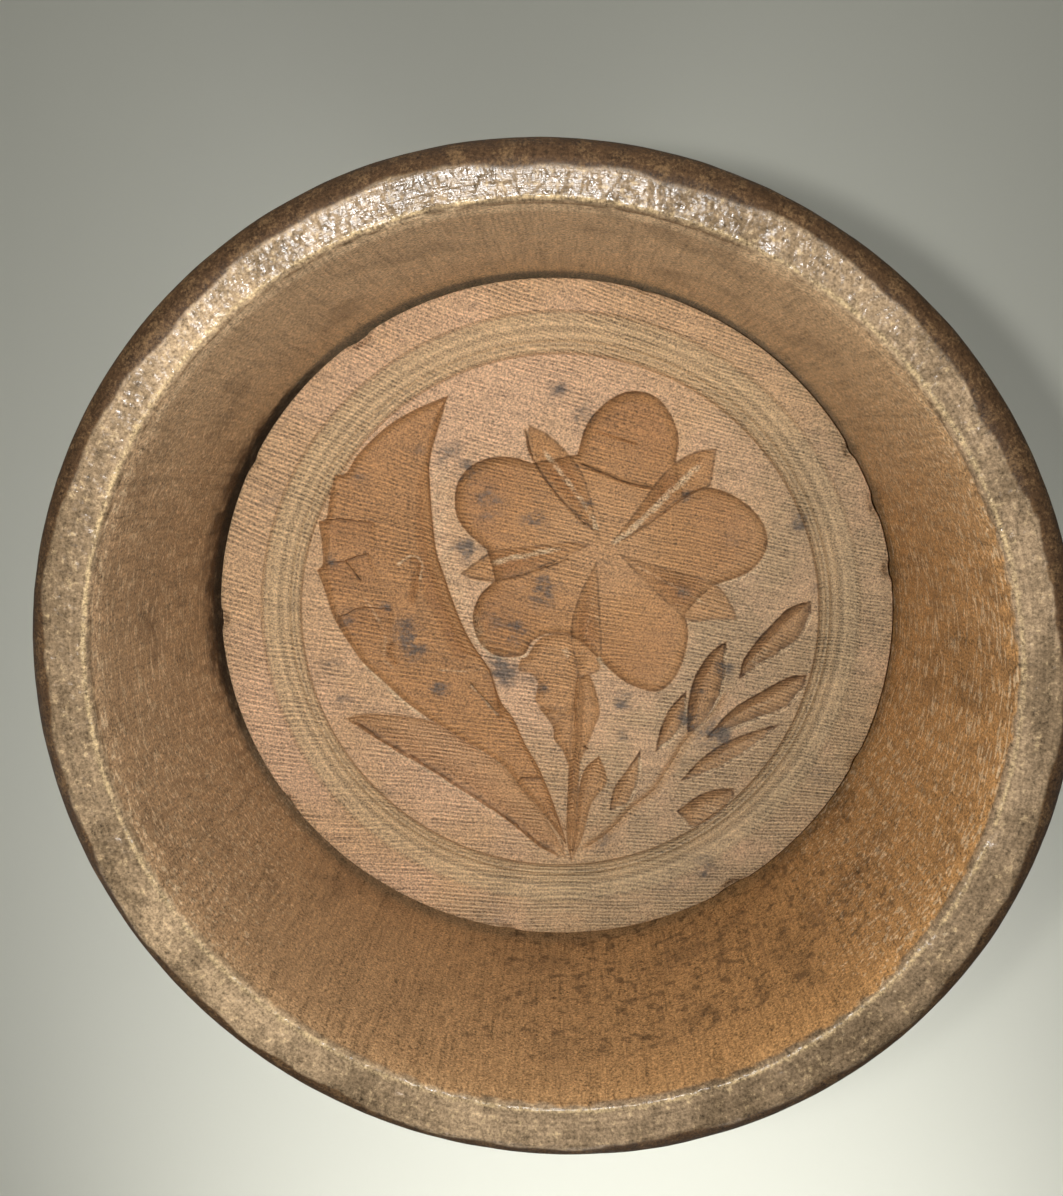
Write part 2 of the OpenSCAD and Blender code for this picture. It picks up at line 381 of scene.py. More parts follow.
SEPALS = [
    [[(-3.9, 32.8), (-0.5, 31), (3.5, 27), (5.6, 23), (8, 14)],
     [(8, 14), (4.5, 17.6), (0.8, 21), (-2.8, 26.2), (-4.3, 29.5), (-3.9, 32.8)]],
    [[(26.8, 28.9), (24, 28.6), (20.8, 27.1), (17.6, 23.9), (14, 18.9), (9.5, 13)],
     [(9.5, 13), (13.4, 14.9), (17.5, 17.7), (22.4, 21.6), (25.8, 22.9), (26.8, 28.9)]],
    [[(-15.5, 8.1), (-13.2, 9.9), (-10, 11.8), (-3.5, 12.7), (2.7, 13.5), (6.5, 13)],
     [(6.5, 13), (2.7, 11.2), (-2.8, 8.8), (-7.3, 7.3), (-12.6, 7.2), (-15.5, 8.1)]],
    [[(30.9, 0.6), (30, 3), (27.4, 6.3), (21.5, 8.3), (11, 11.5)],
     [(11, 11.5), (14.1, 8.2), (18.1, 4.3), (22.8, 0.4), (27, 0.6), (30.9, 0.6)]],
    [[(4.5, -9.7), (3.1, -2.1), (4.3, 3.7), (7.4, 10.5)],
     [(7.4, 10.5), (7.9, 3.7), (8.3, -7), (6.2, -9.2), (4.5, -9.7)]],
]
CALYX = [[(-5.3, -6.2), (-5.7, -8.4), (-3.5, -9.1), (-2.4, -10.8), (-2.8, -13.8), (0.1, -16.1), (3.6, -17)],
         [(3.6, -17), (4.2, -9), (3.1, -2.6), (-0.9, -2.3), (-2.9, -3.7), (-4.3, -6), (-5.3, -6.2)]]
STEM = [[(4.4, -8), (3.4, -14), (2.7, -30), (2.6, -38), STEM_FOOT],
        [STEM_FOOT, (4.3, -38), (4.5, -30), (5.3, -14), (4.4, -8)]]
STEM_LEAVES = [
    [[(-2.4, -14.8), (0, -18), (0.4, -20.5), (2, -22.8), (3.3, -27), (3.5, -31)],
     [(3.5, -31), (4.2, -22), (4.2, -15.5), (1, -15), (-2.4, -14.8)]],
    [[(4.6, -9.7), (6.4, -9.2), (8.1, -15), (7.3, -18.1), (6, -21.5), (4.6, -25)],
     [(4.6, -25), (4.2, -17), (4.6, -9.7)]],
    [[(8.1, -23.3), (9.3, -26.5), (9.2, -28.5), (6.8, -32), (5.3, -38), STEM_FOOT],
     [STEM_FOOT, (4.2, -34), (4.6, -29.5), (5.7, -25.6), (8.1, -23.3)]],
]
BIG_LEAF = [
    [(-17.2, 37.6), (-18.7, 34), (-20.4, 27.5), (-20.5, 22.7), (-20.2, 17.5), (-19.6, 11.8),
     (-18.7, 8.9), (-16.7, 2.9), (-14.5, -2.4), (-10.8, -8)],
    [(-10.8, -8), (-8.8, -13.8), (-6.7, -16.8), (-4.5, -21.6), (-2.4, -25.3), (0.2, -31.7), (2.8, -40)],
    [(2.8, -40), (-1.6, -33.8), (-5.7, -28.8), (-8.8, -25), (-15, -21), LEAF_FORK],
    [LEAF_FORK, (-24.8, -14.3), (-29.4, -10), (-32.6, -7), (-36.9, -0.1), (-38.5, 4.9), (-39.8, 8.6)],
    [(-39.8, 8.6), (-38.8, 9.8), (-38.9, 13.7), (-39.3, 16.9)],
    [(-39.3, 16.9), (-38, 17.4), (-37.3, 21), (-36.6, 24.5)],
    [(-36.6, 24.5), (-34.4, 25), (-32.3, 28.1), (-27.7, 32.4), (-23, 35.2), (-17.2, 37.6)],
]
BIG_LEAF_SCOOP = [
    [(-17.6, 36.5), (-20.3, 27.5), (-20.4, 22.7), (-20.1, 17.5), (-19.5, 11.8), (-18.6, 8.9),
     (-16.6, 2.9), (-14.4, -2.4), (-11.2, -7.6)],
    [(-11.2, -7.6), (-14.5, -8.5), (-18.1, -8.4)],
    [(-18.1, -8.4), (-20, -4), (-21.4, -0.5), (-23.4, 3), (-24.3, 10), (-24.6, 18), (-23.4, 28),
     (-17.6, 36.5)],
]
LOW_LEAF = [
    [(-35.8, -17.1), (-30.8, -16.5), (-24.9, -16.8), LEAF_FORK, (-15, -21), (-8.8, -25),
     (-5.7, -28.8), (-1.6, -33.8), (2.6, -41.8)],
    [(2.6, -41.8), (-2.1, -39.8), (-6.1, -36.4), (-10.8, -32.8), (-15.1, -29.8), (-18.4, -27.8),
     (-25, -23.8), (-31.2, -20.1), (-35.8, -17.1)],
]
SPRIG = [
    [[(43.1, 3.8), (39.6, 2.6), (36.2, -0.9), (33.8, -3.8), (32.1, -6.7), (31.6, -9.6)],
     [(31.6, -9.6), (36.4, -6.3), (41, -3.1), (43, 0.7), (43.1, 3.8)]],
    [[(29.3, -3.1), (26.8, -5), (24.4, -8.7), (23.4, -12.2), (23, -15.1), (23.1, -19)],
     [(23.1, -19), (25.4, -18.1), (28.2, -13.5), (29.1, -9.5), (29.2, -5.7), (29.3, -3.1)]],
    [[(43, -8.9), (40, -9.2), (34.8, -12.1), (30.4, -15.1), (26.2, -20)],
     [(26.2, -20), (29.4, -18.9), (34.9, -16.6), (39.6, -14.6), (42, -11.7), (43, -8.9)]],
    [[(22.7, -11.8), (20.1, -14.8), (18.6, -18.2), (17.7, -22.4)],
     [(17.7, -22.4), (20.8, -20), (22.6, -16.5), (22.7, -11.8)]],
    [[(38.6, -17.4), (35, -18.5), (29.9, -20.5), (25.6, -23.6), (22.2, -27.5)],
     [(22.2, -27.5), (27, -26), (33, -22.5), (38.6, -17.4)]],
    [[(15.1, -22.3), (12.9, -25.7), (10.7, -29.1), (10, -33)],
     [(10, -33), (12.6, -32.2), (14, -30.3), (15, -26), (15.1, -22.3)]],
    [[(31.3, -28.8), (27.9, -29.1), (24.9, -30.4), (21.6, -33)],
     [(21.6, -33), (24.3, -36), (28.1, -34.6), (30.9, -31.2), (31.3, -28.8)]],
]
SPRIG_STEM = [(4.4, -41), (9.3, -37.8), (13.7, -33), (17.5, -29.7), (20.3, -25.2), (23.1, -20.4),
              (26.8, -16.7), (30.3, -11.2)]

CUTS = (
    [Cut(FLOWER_FLOOR, 1.9, 2.8, 3, FLOWER, 0.35, dirt=0.65)]
    + [Cut(edges, deep, 2.3, 1, added=True, dirt=0.9) for edges, deep in zip(SEPALS, (1.2, 1.2, 1.1, 1.0, 1.1))]
    + [Cut(CALYX, 1.0, 2.0, dirt=0.5), Cut(STEM, 1.2, 1.0, 1), Cut(BIG_LEAF, 1.5, 1.4, 3, dirt=0.35)]
    + [Cut(BIG_LEAF_SCOOP, 2.3, 3.4, 2, dirt=0.5)]
    + [Cut(edges, 1.1, 1.8) for edges in STEM_LEAVES]
    + [Cut(LOW_LEAF, 0.5, 0.9, dirt=0.3)]
    + [Cut(edges, deep, 1.9, 1, dirt=1.3) for edges, deep in zip(SPRIG, (1.7, 1.7, 1.6, 1.2, 1.1, 1.0, 1.2))]
)
STOPS = [
    Stop([(-30.1, 16.7), (-34, 16.9), (-38.2, 17.3)], 6, 0.5),
    Stop([(-31.3, 11.6), (-35.5, 10), (-38.8, 9.6)], 7, 0.5),
    Stop([(-27.3, 1.7), (-32.9, 2.1), (-37, 0)], 8, 0.5),
    Stop([(-35.5, -17), (-31.2, -20.1), (-25, -23.8), (-18.4, -27.8), (-10.8, -32.8), (-6.1, -36.4),
          (-2.1, -39.8), (2.4, -42)], 7, 1.3),
]
STROKES = [
    Stroke([(4, 26.8), (8, 25.1), (12.4, 23.4), (18, 22.3)], 0.4, 0.45),
    Stroke([(-35.5, 10), (-32.6, 6.4)], 0.35, 0.3),
    Stroke([(-14.5, -10.8), (-8.8, -17.3)], 0.5, 0.3),
    Stroke([(-5.7, -27.9), (-1.6, -28)], 0.35, 0.35),
    Stroke(SPRIG_STEM, 1.1, 0.8, 0.15),
    Stroke([(-24.2, 10.6), (-22.6, 9.2), (-23.5, 5.8), (-24.4, 2.5)], 0.9, 0.6, 0.3),
    Stroke([(-27.4, -4), (-28.3, -6), (-27, -8)], 0.8, 0.5, 0.3),
    Stroke([(-11, -7.9), (-8.8, -17.9)], 0.7, 0.6, 0.35),
    Stroke([(6.9, 32), (14.3, 29.6)], 0.3, 0.3, 0.6),
    Stroke([(5.5, -21.6), (6, -22.4)], 0.5, 0.8),
    Stroke([(-4.9, 33), (-2.6, 26), (1.6, 20.4), (6.6, 15.2)], 0.4, 0.35, 0.8),
    Stroke([(27, 23.4), (22, 20.8), (16, 16.4), (10, 12.8)], 0.35, 0.3, 0.6),
    Stroke([(-15, 7.6), (-8.4, 6.9), (-2, 8.8), (4, 11)], 0.35, 0.3, 0.7),
]
# Bare wood scraped down the middle of the sepals, and painted highlights along the lower edges of the cuts, where
# their walls face the light
SCRAPES_AND_LIT_EDGES = [
    Stroke([(-2.2, 29.6), (0.6, 25.8), (6, 18.6), (8, 13.6)], 0.8, 0.75),
    Stroke([(12, 10.6), (20, 6.2), (27.4, 2.2)], 0.5, 0.6),
    Stroke([(4.6, -7), (6.2, 0), (7.6, 8)], 0.4, 0.55),
    Stroke([(-16.2, 33), (-18.4, 22), (-17.4, 11), (-12.6, -2), (-8.4, -8.4)], 2.0, 0.5),
    Stroke([(25.4, 27.4), (13.6, 16), (8.3, 12.4)], 0.9, 0.9),
    Stroke([(-11, 9.5), (-5, 11), (2.2, 12.6)], 0.9, 0.95),
    Stroke([(6.4, 2.6), (8, -0.4)], 0.7, 0.5),
    Stroke([(1.9, -4.6), (3, -6.3)], 0.9, 0.9),
    Stroke([(7.6, -5.8), (8.4, -7.2), (9.4, -8.4)], 0.8, 0.7),
    Stroke([(35.9, 13.2), (34.8, 10), (32.4, 8), (27, 6.3)], 0.35, 0.9),
    Stroke([(-13.4, -1.5), (-12.7, -3.6), (-10.1, -5.9), (-7.4, -6.4), (-4.7, -5.9), (-3.2, -3.5)], 0.35, 0.9),
    Stroke([(-33.2, -6.6), (-29.6, -10.3), (-24.9, -14.6), (-20.2, -18)], 0.35, 0.9),
    Stroke([(-14.5, -21.2), (-8.8, -25.2), (-5.7, -29)], 0.3, 0.7),
    Stroke([(-31.2, -20.6), (-25, -24.3), (-18.4, -28.3), (-10.8, -33.3), (-6.1, -36.9)], 0.4, 0.7),
    Stroke([(27.6, 7.2), (20.5, 9), (14, 10.8)], 0.3, 0.4),
    Stroke([(36.8, -4.4), (33.4, -7.4)], 0.9, 0.55),
    Stroke([(29.2, -33), (26, -32.6)], 1.1, 0.6),
    Stroke([(14.2, -24.4), (12.8, -28.4)], 0.6, 0.6),
    Stroke([(38, -13.4), (33, -15.6)], 0.6, 0.45),
    Stroke([(-27, 8.8), (-24, 11), (-22.2, 9.6), (-22.9, 5.6)], 0.5, 0.7),
    Stroke([(-33, 5.2), (-29, -2), (-28.8, -7), (-26, -9.4)], 0.5, 0.55),
    Stroke([(-20.5, -8.6), (-14.5, -9), (-11, -8.1)], 0.4, 0.7),
    Stroke([(-14.6, -10.9), (-8.8, -17.5)], 0.45, 0.6),
    Stroke([(-16, 26), (-13.6, 20), (-14.2, 14.4), (-16.4, 10.4)], 0.5, 0.35),
    Stroke([(-19.4, 29), (-19.6, 18), (-17.6, 8), (-13.6, -1.4)], 0.5, 0.6),
    Stroke(SPRIG_STEM, 0.7, 0.5),
] + [Stroke(leaf[1], 0.6, 0.75) for leaf in SPRIG]


def outline_of(edges, spacing):
    """The closed outline of edges that meet at corners, without its last point."""
    return np.vstack([smooth_curve(edge, spacing)[:-1] for edge in edges])


def distance_to(points, line):
    """Each point's distance to a line, its side of it, and how far along the line it lies."""
    best = np.full(len(points), np.inf)
    side = np.zeros(len(points))
    along = np.zeros(len(points))
    done = 0.0
    for a, b in zip(line, line[1:]):
        d = b - a
        size = np.linalg.norm(d)
        if size < 1e-9:
            continue
        t = np.clip(((points - a) @ d) / size ** 2, 0, 1)
        away = points - (a + t[:, None] * d)
        gap = np.hypot(away[:, 0], away[:, 1])
        nearer = gap < best
        best = np.where(nearer, gap, best)
        side = np.where(nearer, np.sign(d[0] * (points[:, 1] - a[1]) - d[1] * (points[:, 0] - a[0])), side)
        along = np.where(nearer, done + t * size, along)
        done += size
    return best, side, along / max(done, 1e-9)


def is_inside(points, loop):
    """Whether each point is inside a closed loop."""
    inside = np.zeros(len(points), bool)
    for a, b in zip(loop, np.roll(loop, -1, axis=0)):
        crosses = (a[1] > points[:, 1]) != (b[1] > points[:, 1])
        if a[1] != b[1]:
            at = (b[0] - a[0]) * (points[:, 1] - a[1]) / (b[1] - a[1]) + a[0]
            inside ^= crosses & (points[:, 0] < at)
    return inside


def carve(points):
    """What the knife did at each point: depth, how much is cut floor, painted shade with some dirt along the cuts,
    and scraped wood with painted highlights.
    """
    depth, cut, edge, bare_and_lit = (np.zeros(len(points)) for _ in range(4))
    for shape in CUTS:
        loop = outline_of(shape.edges, 0.35)
        low, high = loop.min(axis=0) - 1.5, loop.max(axis=0) + 1.5
        near = np.flatnonzero(((points > low) & (points < high)).all(axis=1))
        gap, _, _ = distance_to(points[near], np.vstack([loop, loop[:1]]))
        inward = np.where(is_inside(points[near], loop), gap, -gap)
        deepest = shape.deep
        if shape.rise_from:
            reach = np.hypot(*(loop - shape.rise_from).T).max()
            out = np.hypot(*(points[near] - shape.rise_from).T) / reach
            deepest = shape.deep * (shape.least + (1 - shape.least) * ease(out, 0.1, 0.85))
        floor = deepest * (1 - (1 - np.clip(inward / shape.run, 0, 1)) ** shape.power)
        depth[near] = depth[near] + floor if shape.added else np.maximum(depth[near], floor)
        cut[near] = np.maximum(cut[near], np.clip(0.5 + inward / 0.5, 0, 1) * np.clip(0.3 + 0.6 * deepest, 0, 1))
        # Painted shade with some dirt: a thin dark line round each cut's edge, and a wide darkening inside it
        # where the cut is deep
        thin = np.where(inward > 0, 1 - ease(inward, 0.05, 0.5), 1 - ease(-inward, 0, 0.15))
        wide = np.where(inward > 0, 1 - ease(inward, 0.2, 2.6), 0)
        edge[near] = np.maximum(edge[near], shape.dirt * (0.5 * thin + 0.6 * wide * np.clip(deepest / 1.9, 0, 1)))
    for stop in STOPS:
        gap, side, along = distance_to(points, smooth_curve(stop.points, 0.5))
        fades = ease(along, 0.0, 0.06) * (1 - ease(along, 0.94, 1.0))
        inner = (side > 0) & (cut > 0.01)
        depth += np.where(inner, stop.deep * fades * np.clip(1 - gap / stop.width, 0, 1), 0)
        # Painted shadow along the stop cut's line, on its deeper side
        edge = np.maximum(edge, np.where(inner, fades * (1 - ease(gap, 0.1, 0.8)) * 0.7, 0))
    for stroke in STROKES:
        gap, _, along = distance_to(points, smooth_curve(stroke.points, 0.5))
        fades = ease(along, 0.0, 0.08) * (1 - ease(along, 0.9, 1.0))
        vee = np.clip(1 - gap / stroke.half_width, 0, 1) * fades
        depth += stroke.deep * vee
        # Painted shade with some dirt darkens the stroke's line
        edge = np.maximum(edge, stroke.dirt * vee)
        cut = np.maximum(cut, 0.8 * vee)
    # Scraped bare wood, and painted highlights on the lit edges of the cuts
    for stroke in SCRAPES_AND_LIT_EDGES:
        gap, _, along = distance_to(points, smooth_curve(stroke.points, 0.5))
        fades = ease(along, 0.0, 0.12) * (1 - ease(along, 0.85, 1.0))
        bare_and_lit = np.maximum(bare_and_lit, stroke.deep * fades * (1 - ease(gap, 0.3 * stroke.half_width, stroke.half_width)))
    return depth, cut, edge, bare_and_lit


# The print

GROOVE_CENTRE = (0.9, 0.6)
PRINT_OFF_CENTRE = (0.1, 0.3)
PRINT_OVAL = 0.008
PRINT_OVAL_ANGLE = math.radians(19)
# Chips out of the print's rim: angle in degrees, width and depth in millimetres
RIM_CHIPS = [(124.4, 1.6, 1.0), (180, 1.2, 0.8), (30.4, 1.0, 0.7), (20.3, 1.4, 0.6), (8.9, 1.0, 0.8),
             (-56.2, 1.8, 0.8), (75, 0.9, 0.3), (152, 1.1, 0.35), (215, 1.3, 0.3), (262, 1.0, 0.3),
             (335, 1.1, 0.3)]
# Mould stains on the face: place and size in millimetres, and strength
FACE_STAINS = [
    (40.9, 17, 1.9, 1.0), (-25.1, -2.5, 3.0, 1.0), (-24, -5, 2.6, 1.0), (-19.3, -12, 1.7, 1.0),
    (-2.1, 5.4, 3.8, 0.9), (-8.1, -8.4, 3.2, 1.0), (-4, -9.8, 2.2, 0.8), (23.5, -16.9, 2.4, 1.0),
    (27.8, -19.5, 3.2, 1.0), (25, -12, 1.8, 0.8), (29.2, -8.1, 1.7, 1.0), (-17.1, 28.3, 2.6, 0.9),
    (-14.4, 25.2, 2.6, 0.9), (-13.7, 12, 2.4, 1.0), (-16, 13.4, 1.8, 0.8), (-22.1, 28, 1.8, 0.7),
    (-35.4, 0.1, 2.0, 0.8), (-28.6, 2, 1.4, 0.9), (-37.7, 10.3, 1.7, 0.8), (5.2, 34.5, 2.4, 0.9),
    (1, 38.6, 2.6, 0.8), (14.4, 25.5, 2.4, 0.5), (-11, 19.7, 3.4, 0.8), (-3, 17.2, 2.6, 0.9),
    (-2.4, 20.4, 1.6, 0.8), (-9.6, 0.4, 4.2, 0.7), (-6.5, -2, 3.2, 0.9), (5.5, 20, 1.3, 0.9),
    (22, 21, 1.4, 0.8), (30, 14, 2.4, 0.6), (22, 5, 1.8, 0.7), (11.6, -13.5, 2.4, 0.8),
    (-2.1, -11.9, 1.8, 0.8), (0.5, -16.6, 1.6, 0.8), (12, -20, 1.7, 0.7), (-38, -8, 2.6, 0.7),
    (-35.6, -13.6, 2.2, 0.7), (9.5, -38.5, 2.8, 0.7), (31, 33, 2.6, 0.6), (-20, -34, 3.0, 0.4),
    (-33, 24, 2.2, 0.7), (36, -2, 2.2, 0.6), (34, 7, 2.0, 0.5), (-48, 21, 3.2, 0.6), (45, -26, 2.8, 0.6),
    (20, -47, 3.6, 0.6), (27, -43.6, 2.6, 0.8), (-10, -53, 3.2, 0.6), (44, 6, 2.0, 0.6),
    (-28, -30, 2.2, 0.5), (18, 36, 2.4, 0.5), (-44, 3, 2.2, 0.6), (4, -30, 1.4, 0.6)]

# Paler, rubbed places on the face: place and size in millimetres, and strength
FACE_PALE = [(30, 14, 9, 0.75), (17, -3, 9, 0.8), (0, -48, 8, 1.0), (-15, -45, 6, 0.7), (15, -44, 6, 0.8),
             (27, 36, 10, 0.55), (13, -19, 8, 0.7), (-4, 52, 14, 0.25), (-8, 16, 8, 0.45), (-8, -24, 8, 0.5)]


def groove_height(radius, sizes):
    """Height of the turned face at a distance from its own centre: a border, a cove and a field."""
    outer = (PRINT_R - sizes.border_w) / MM
    width = sizes.groove_w / MM
    deep = sizes.groove_deep / MM
    middle = outer - width / 2
    arc_r = ((width / 2) ** 2 + deep ** 2) / (2 * deep)
    across = np.clip(np.abs(radius - middle), 0, width / 2)
    cove = arc_r - deep - np.sqrt(arc_r ** 2 - across ** 2)
    step = 0.35 * (1 - ease(np.abs(radius - middle), width / 2 - 0.05, width / 2 + 0.15))
    ridge = 0.25 * np.exp(-((radius - outer + width * 0.72) / 0.35) ** 2)
    return np.minimum(cove, 0) * (1 - ease(np.abs(radius - middle), width / 2 - 0.02, width / 2)) - step + ridge


def face_points(sizes, ring):
    """Points of the print's face and the lines that its triangles keep to."""
    fine = 0.35
    loops = [(outline_of(shape.edges, fine), True) for shape in CUTS]
    loops += [(smooth_curve(line.points, fine), False) for line in STOPS + STROKES]
    fixed, kept = [ring], [(i, (i + 1) % len(ring)) for i in range(len(ring))]
    count = len(ring)
    for loop, closed in loops:
        size = len(loop)
        kept += [(count + i, count + (i + 1) % size) for i in range(size if closed else size - 1)]
        fixed.append(loop)
        count += size
    # Two rows of points inside and outside each line, so that its wall starts crisply
    beside = []
    for loop, closed in loops:
        ahead = np.roll(loop, -1, axis=0) - np.roll(loop, 1, axis=0)
        ahead /= np.maximum(np.linalg.norm(ahead, axis=1, keepdims=True), 1e-9)
        across = np.stack([-ahead[:, 1], ahead[:, 0]], axis=1)
        for offset in (-0.45, -0.2, 0.2, 0.45):
            beside.append(loop + across * offset)
    outer = (PRINT_R - sizes.border_w) / MM
    inner = outer - sizes.groove_w / MM
    rings = []
    radii = [inner - 0.25, inner - 0.1, inner + 0.02, inner + 0.15, *np.arange(inner + 0.5, outer - 0.2, 0.45),
             outer - 0.15, outer - 0.02, outer + 0.1, outer + 0.25]
    for number, radius in enumerate(radii):
        angles = (np.arange(600) + 0.5 * (number % 2)) * TURN / 600
        rings.append(np.stack([radius * np.cos(angles), radius * np.sin(angles)], axis=1) + GROOVE_CENTRE)
    pitch = 0.5
    columns = np.arange(-60, 60, pitch)
    rows = np.arange(-60, 60, pitch * math.sqrt(3) / 2)
    x, y = np.meshgrid(columns, rows)
    x = x + pitch / 2 * (np.arange(len(rows)) % 2)[:, None]
    grid = np.stack([x.ravel(), y.ravel()], axis=1)
    from_groove = np.hypot(*(grid - GROOVE_CENTRE).T)
    grid = grid[(from_groove < inner - 0.35) | (from_groove > outer + 0.35)]
    # Leave out a loose point that lies too near a fixed one
    made = np.vstack(fixed)
    for extra, least in ((np.vstack(beside), 0.12), (np.vstack(rings), 0.12), (grid, 0.28)):
        tree = KDTree(len(made))
        for number, point in enumerate(made):
            tree.insert((point[0], point[1], 0), number)
        tree.balance()
        clear = [p for p in extra if tree.find((p[0], p[1], 0))[2] > least]
        made = np.vstack([made, clear])
    limit = np.hypot(*ring.T).min() - 0.3
    keep = np.hypot(*made.T) < limit
    keep[:count] = True
    return made[keep], kept


def make_print_mesh(sizes, segments):
    """The print: its carved face, its rim and back, and the threaded hole, in one closed mesh."""
    radius = PRINT_R / MM - 0.15
    face_z = FACE_Z / MM
    seat_z = SEAT_Z / MM
    angles = np.arange(segments) * TURN / segments
    oval = 1 + PRINT_OVAL * (np.cos(2 * (angles + PRINT_OVAL_ANGLE)) - 1)
    chip = np.zeros(segments)
    for angle, width, deep in RIM_CHIPS:
        apart = (angles - math.radians(angle) + math.pi) % TURN - math.pi
        chip = np.maximum(chip, deep * np.exp(-(apart * radius / width) ** 2))
    around = np.stack([np.cos(angles), np.sin(angles)], axis=1)

    # The face, cut along the lines of the carving
    edge_round = 0.45
    ring = around * ((radius - edge_round) * oval - chip)[:, None]
    points, kept = face_points(sizes, ring)
    result = delaunay_2d_cdt([Vector(p) for p in points], kept, [], 0, 1e-5)
    flat = np.array([tuple(v) for v in result[0]])
    faces = [tuple(f) for f in result[2]]
    depth, cut, edge, bare_and_lit = carve(flat)
    from_groove = np.hypot(*(flat - GROOVE_CENTRE).T)
    turned = groove_height(from_groove, sizes)
    height = np.minimum(-depth, 0) + turned
    boundary = {i: flat_id for flat_id, source in enumerate(result[3]) for i in source if i < segments}

    # The rim, back and hole, as rings of points
    thread_r = sizes.thread_r / MM + 0.3
    root_r = thread_r - 1.4
    hole = [(thread_r, seat_z)]
    for turn in range(3):
        z = seat_z + 1 + 4 * turn
        hole += [(root_r, z - 0.3), (thread_r, z + 0.4), (thread_r, z + 2.3), (root_r, z + 3)]
    hole += [(root_r, THREAD_Z / MM + 0.3), (0.02, THREAD_Z / MM + 0.3)]
    shoulder = 1.5
    section = [(radius - 0.13, face_z - 0.12), (radius, face_z - 0.45),
               *straight((radius, face_z - 1.2), (radius, seat_z + shoulder), 1.6),
               (radius - shoulder, seat_z), (radius - 8, seat_z), (30, seat_z), *hole]
    verts = [(x, y, face_z + z) for (x, y), z in zip(flat, height)]
    above = [boundary[i] for i in range(segments)]
    for place, (r, z) in enumerate(section):
        bite = max(0.0, 1 - place * 0.3)
        shape = oval if r > radius - 4 else np.ones(segments)
        wave = (r * shape - chip * bite)[:, None] * around
        start = len(verts)
        verts += [(x, y, z - (0.5 * c * bite if place < 2 else 0)) for (x, y), c in zip(wave, chip)]
        below = list(range(start, start + segments))
        faces += [(above[i], below[i], below[(i + 1) % segments], above[(i + 1) % segments])
                  for i in range(segments)]
        above = below
    faces.append(tuple(above))
    mesh = bpy.data.meshes.new("print_carved")
    verts = np.array(verts)
    # The rim sits a little off the rod's centre, as the hole was bored by hand
    outside = ease(np.hypot(verts[:, 0], verts[:, 1]), 12, 30)
    verts[len(flat):, 0] += PRINT_OFF_CENTRE[0] * outside[len(flat):]
    verts[len(flat):, 1] += PRINT_OFF_CENTRE[1] * outside[len(flat):]
    shift = ease(np.hypot(flat[:, 0], flat[:, 1]), 50, 56)
    verts[:len(flat), 0] += PRINT_OFF_CENTRE[0] * shift
    verts[:len(flat), 1] += PRINT_OFF_CENTRE[1] * shift
    mesh.from_pydata([tuple(v * MM) for v in verts], [], faces)
    rest = len(verts) - len(flat)
    groove_outer = (PRINT_R - sizes.border_w) / MM
    groove = (ease(from_groove, groove_outer - sizes.groove_w / MM - 0.2, groove_outer - sizes.groove_w / MM + 0.6)
              * (1 - ease(from_groove, groove_outer - 0.6, groove_outer + 0.3)))
    stain = np.zeros(len(flat))
    for x, y, size, strength in FACE_STAINS:
        stain = np.maximum(stain, strength * np.exp(-(((flat - (x, y)) ** 2).sum(axis=1)) / (1.3 * size) ** 2))
    grey = ease(0.9 * flat[:, 0] - 0.45 * flat[:, 1], -12, 42)
    store(mesh, "grey", np.append(grey, np.full(rest, 0.6)))
    store(mesh, "cut", np.append(cut, np.zeros(rest)))
    # Painted shade with some dirt along the cuts
    store(mesh, "edge", np.append(edge, np.zeros(rest)))
    # Scraped wood, and painted highlights on the lit edges of the cuts
    store(mesh, "bare_and_lit", np.append(bare_and_lit, np.zeros(rest)))
    store(mesh, "deep", np.append(ease(depth, 0.9, 2.6), np.zeros(rest)))
    store(mesh, "groove", np.append(groove, np.zeros(rest)))
    store(mesh, "turned", np.append(from_groove, np.zeros(rest)))
    store(mesh, "stain", np.append(stain, np.zeros(rest)))
    pale = np.zeros(len(flat))
    for x, y, size, strength in FACE_PALE:
        pale = np.maximum(pale, strength * np.exp(-(((flat - (x, y)) ** 2).sum(axis=1)) / size ** 2))
    store(mesh, "pale", np.append(0.5 + 0.5 * pale, np.full(rest, 0.5)))
    close_and_smooth(mesh, 32)
    return mesh


# Materials

def start_material(name):
    """An empty node material and its place in millimetres, from the object's own coordinates."""
    material = bpy.data.materials.new(name)
    material.use_nodes = True
    tree = material.node_tree
    tree.nodes.clear()
    where = add(tree, "ShaderNodeTexCoord").outputs["Object"]
    in_mm = add(tree, "ShaderNodeVectorMath", {0: where, "Scale": 1 / MM}, operation="SCALE").outputs[0]
    return material, tree, in_mm


def stored_values(tree, names):
    """The numbers stored on the mesh, by name."""
    return {name: add(tree, "ShaderNodeAttribute", attribute_name=name).outputs["Fac"] for name in names}


def noises(tree, place, kinds):
    """Noise patterns from 0 to 1 by name: feature size in millimetres, stretch in x, y and z, roughness."""
    made = {}
    for name, (size, stretch, rough) in kinds.items():
        at = add(tree, "ShaderNodeVectorMath", {0: place, 1: [1 / part for part in stretch]},
                 operation="MULTIPLY").outputs[0]
        noise = add(tree, "ShaderNodeTexNoise", {"Vector": at, "Scale": 1 / size, "Detail": 4.0,
                                                 "Roughness": rough}).outputs["Fac"]
        made[name] = add(tree, "ShaderNodeMapRange", {"Value": noise, "From Min": 0.28,
                                                      "From Max": 0.72}).outputs[0]
    return made


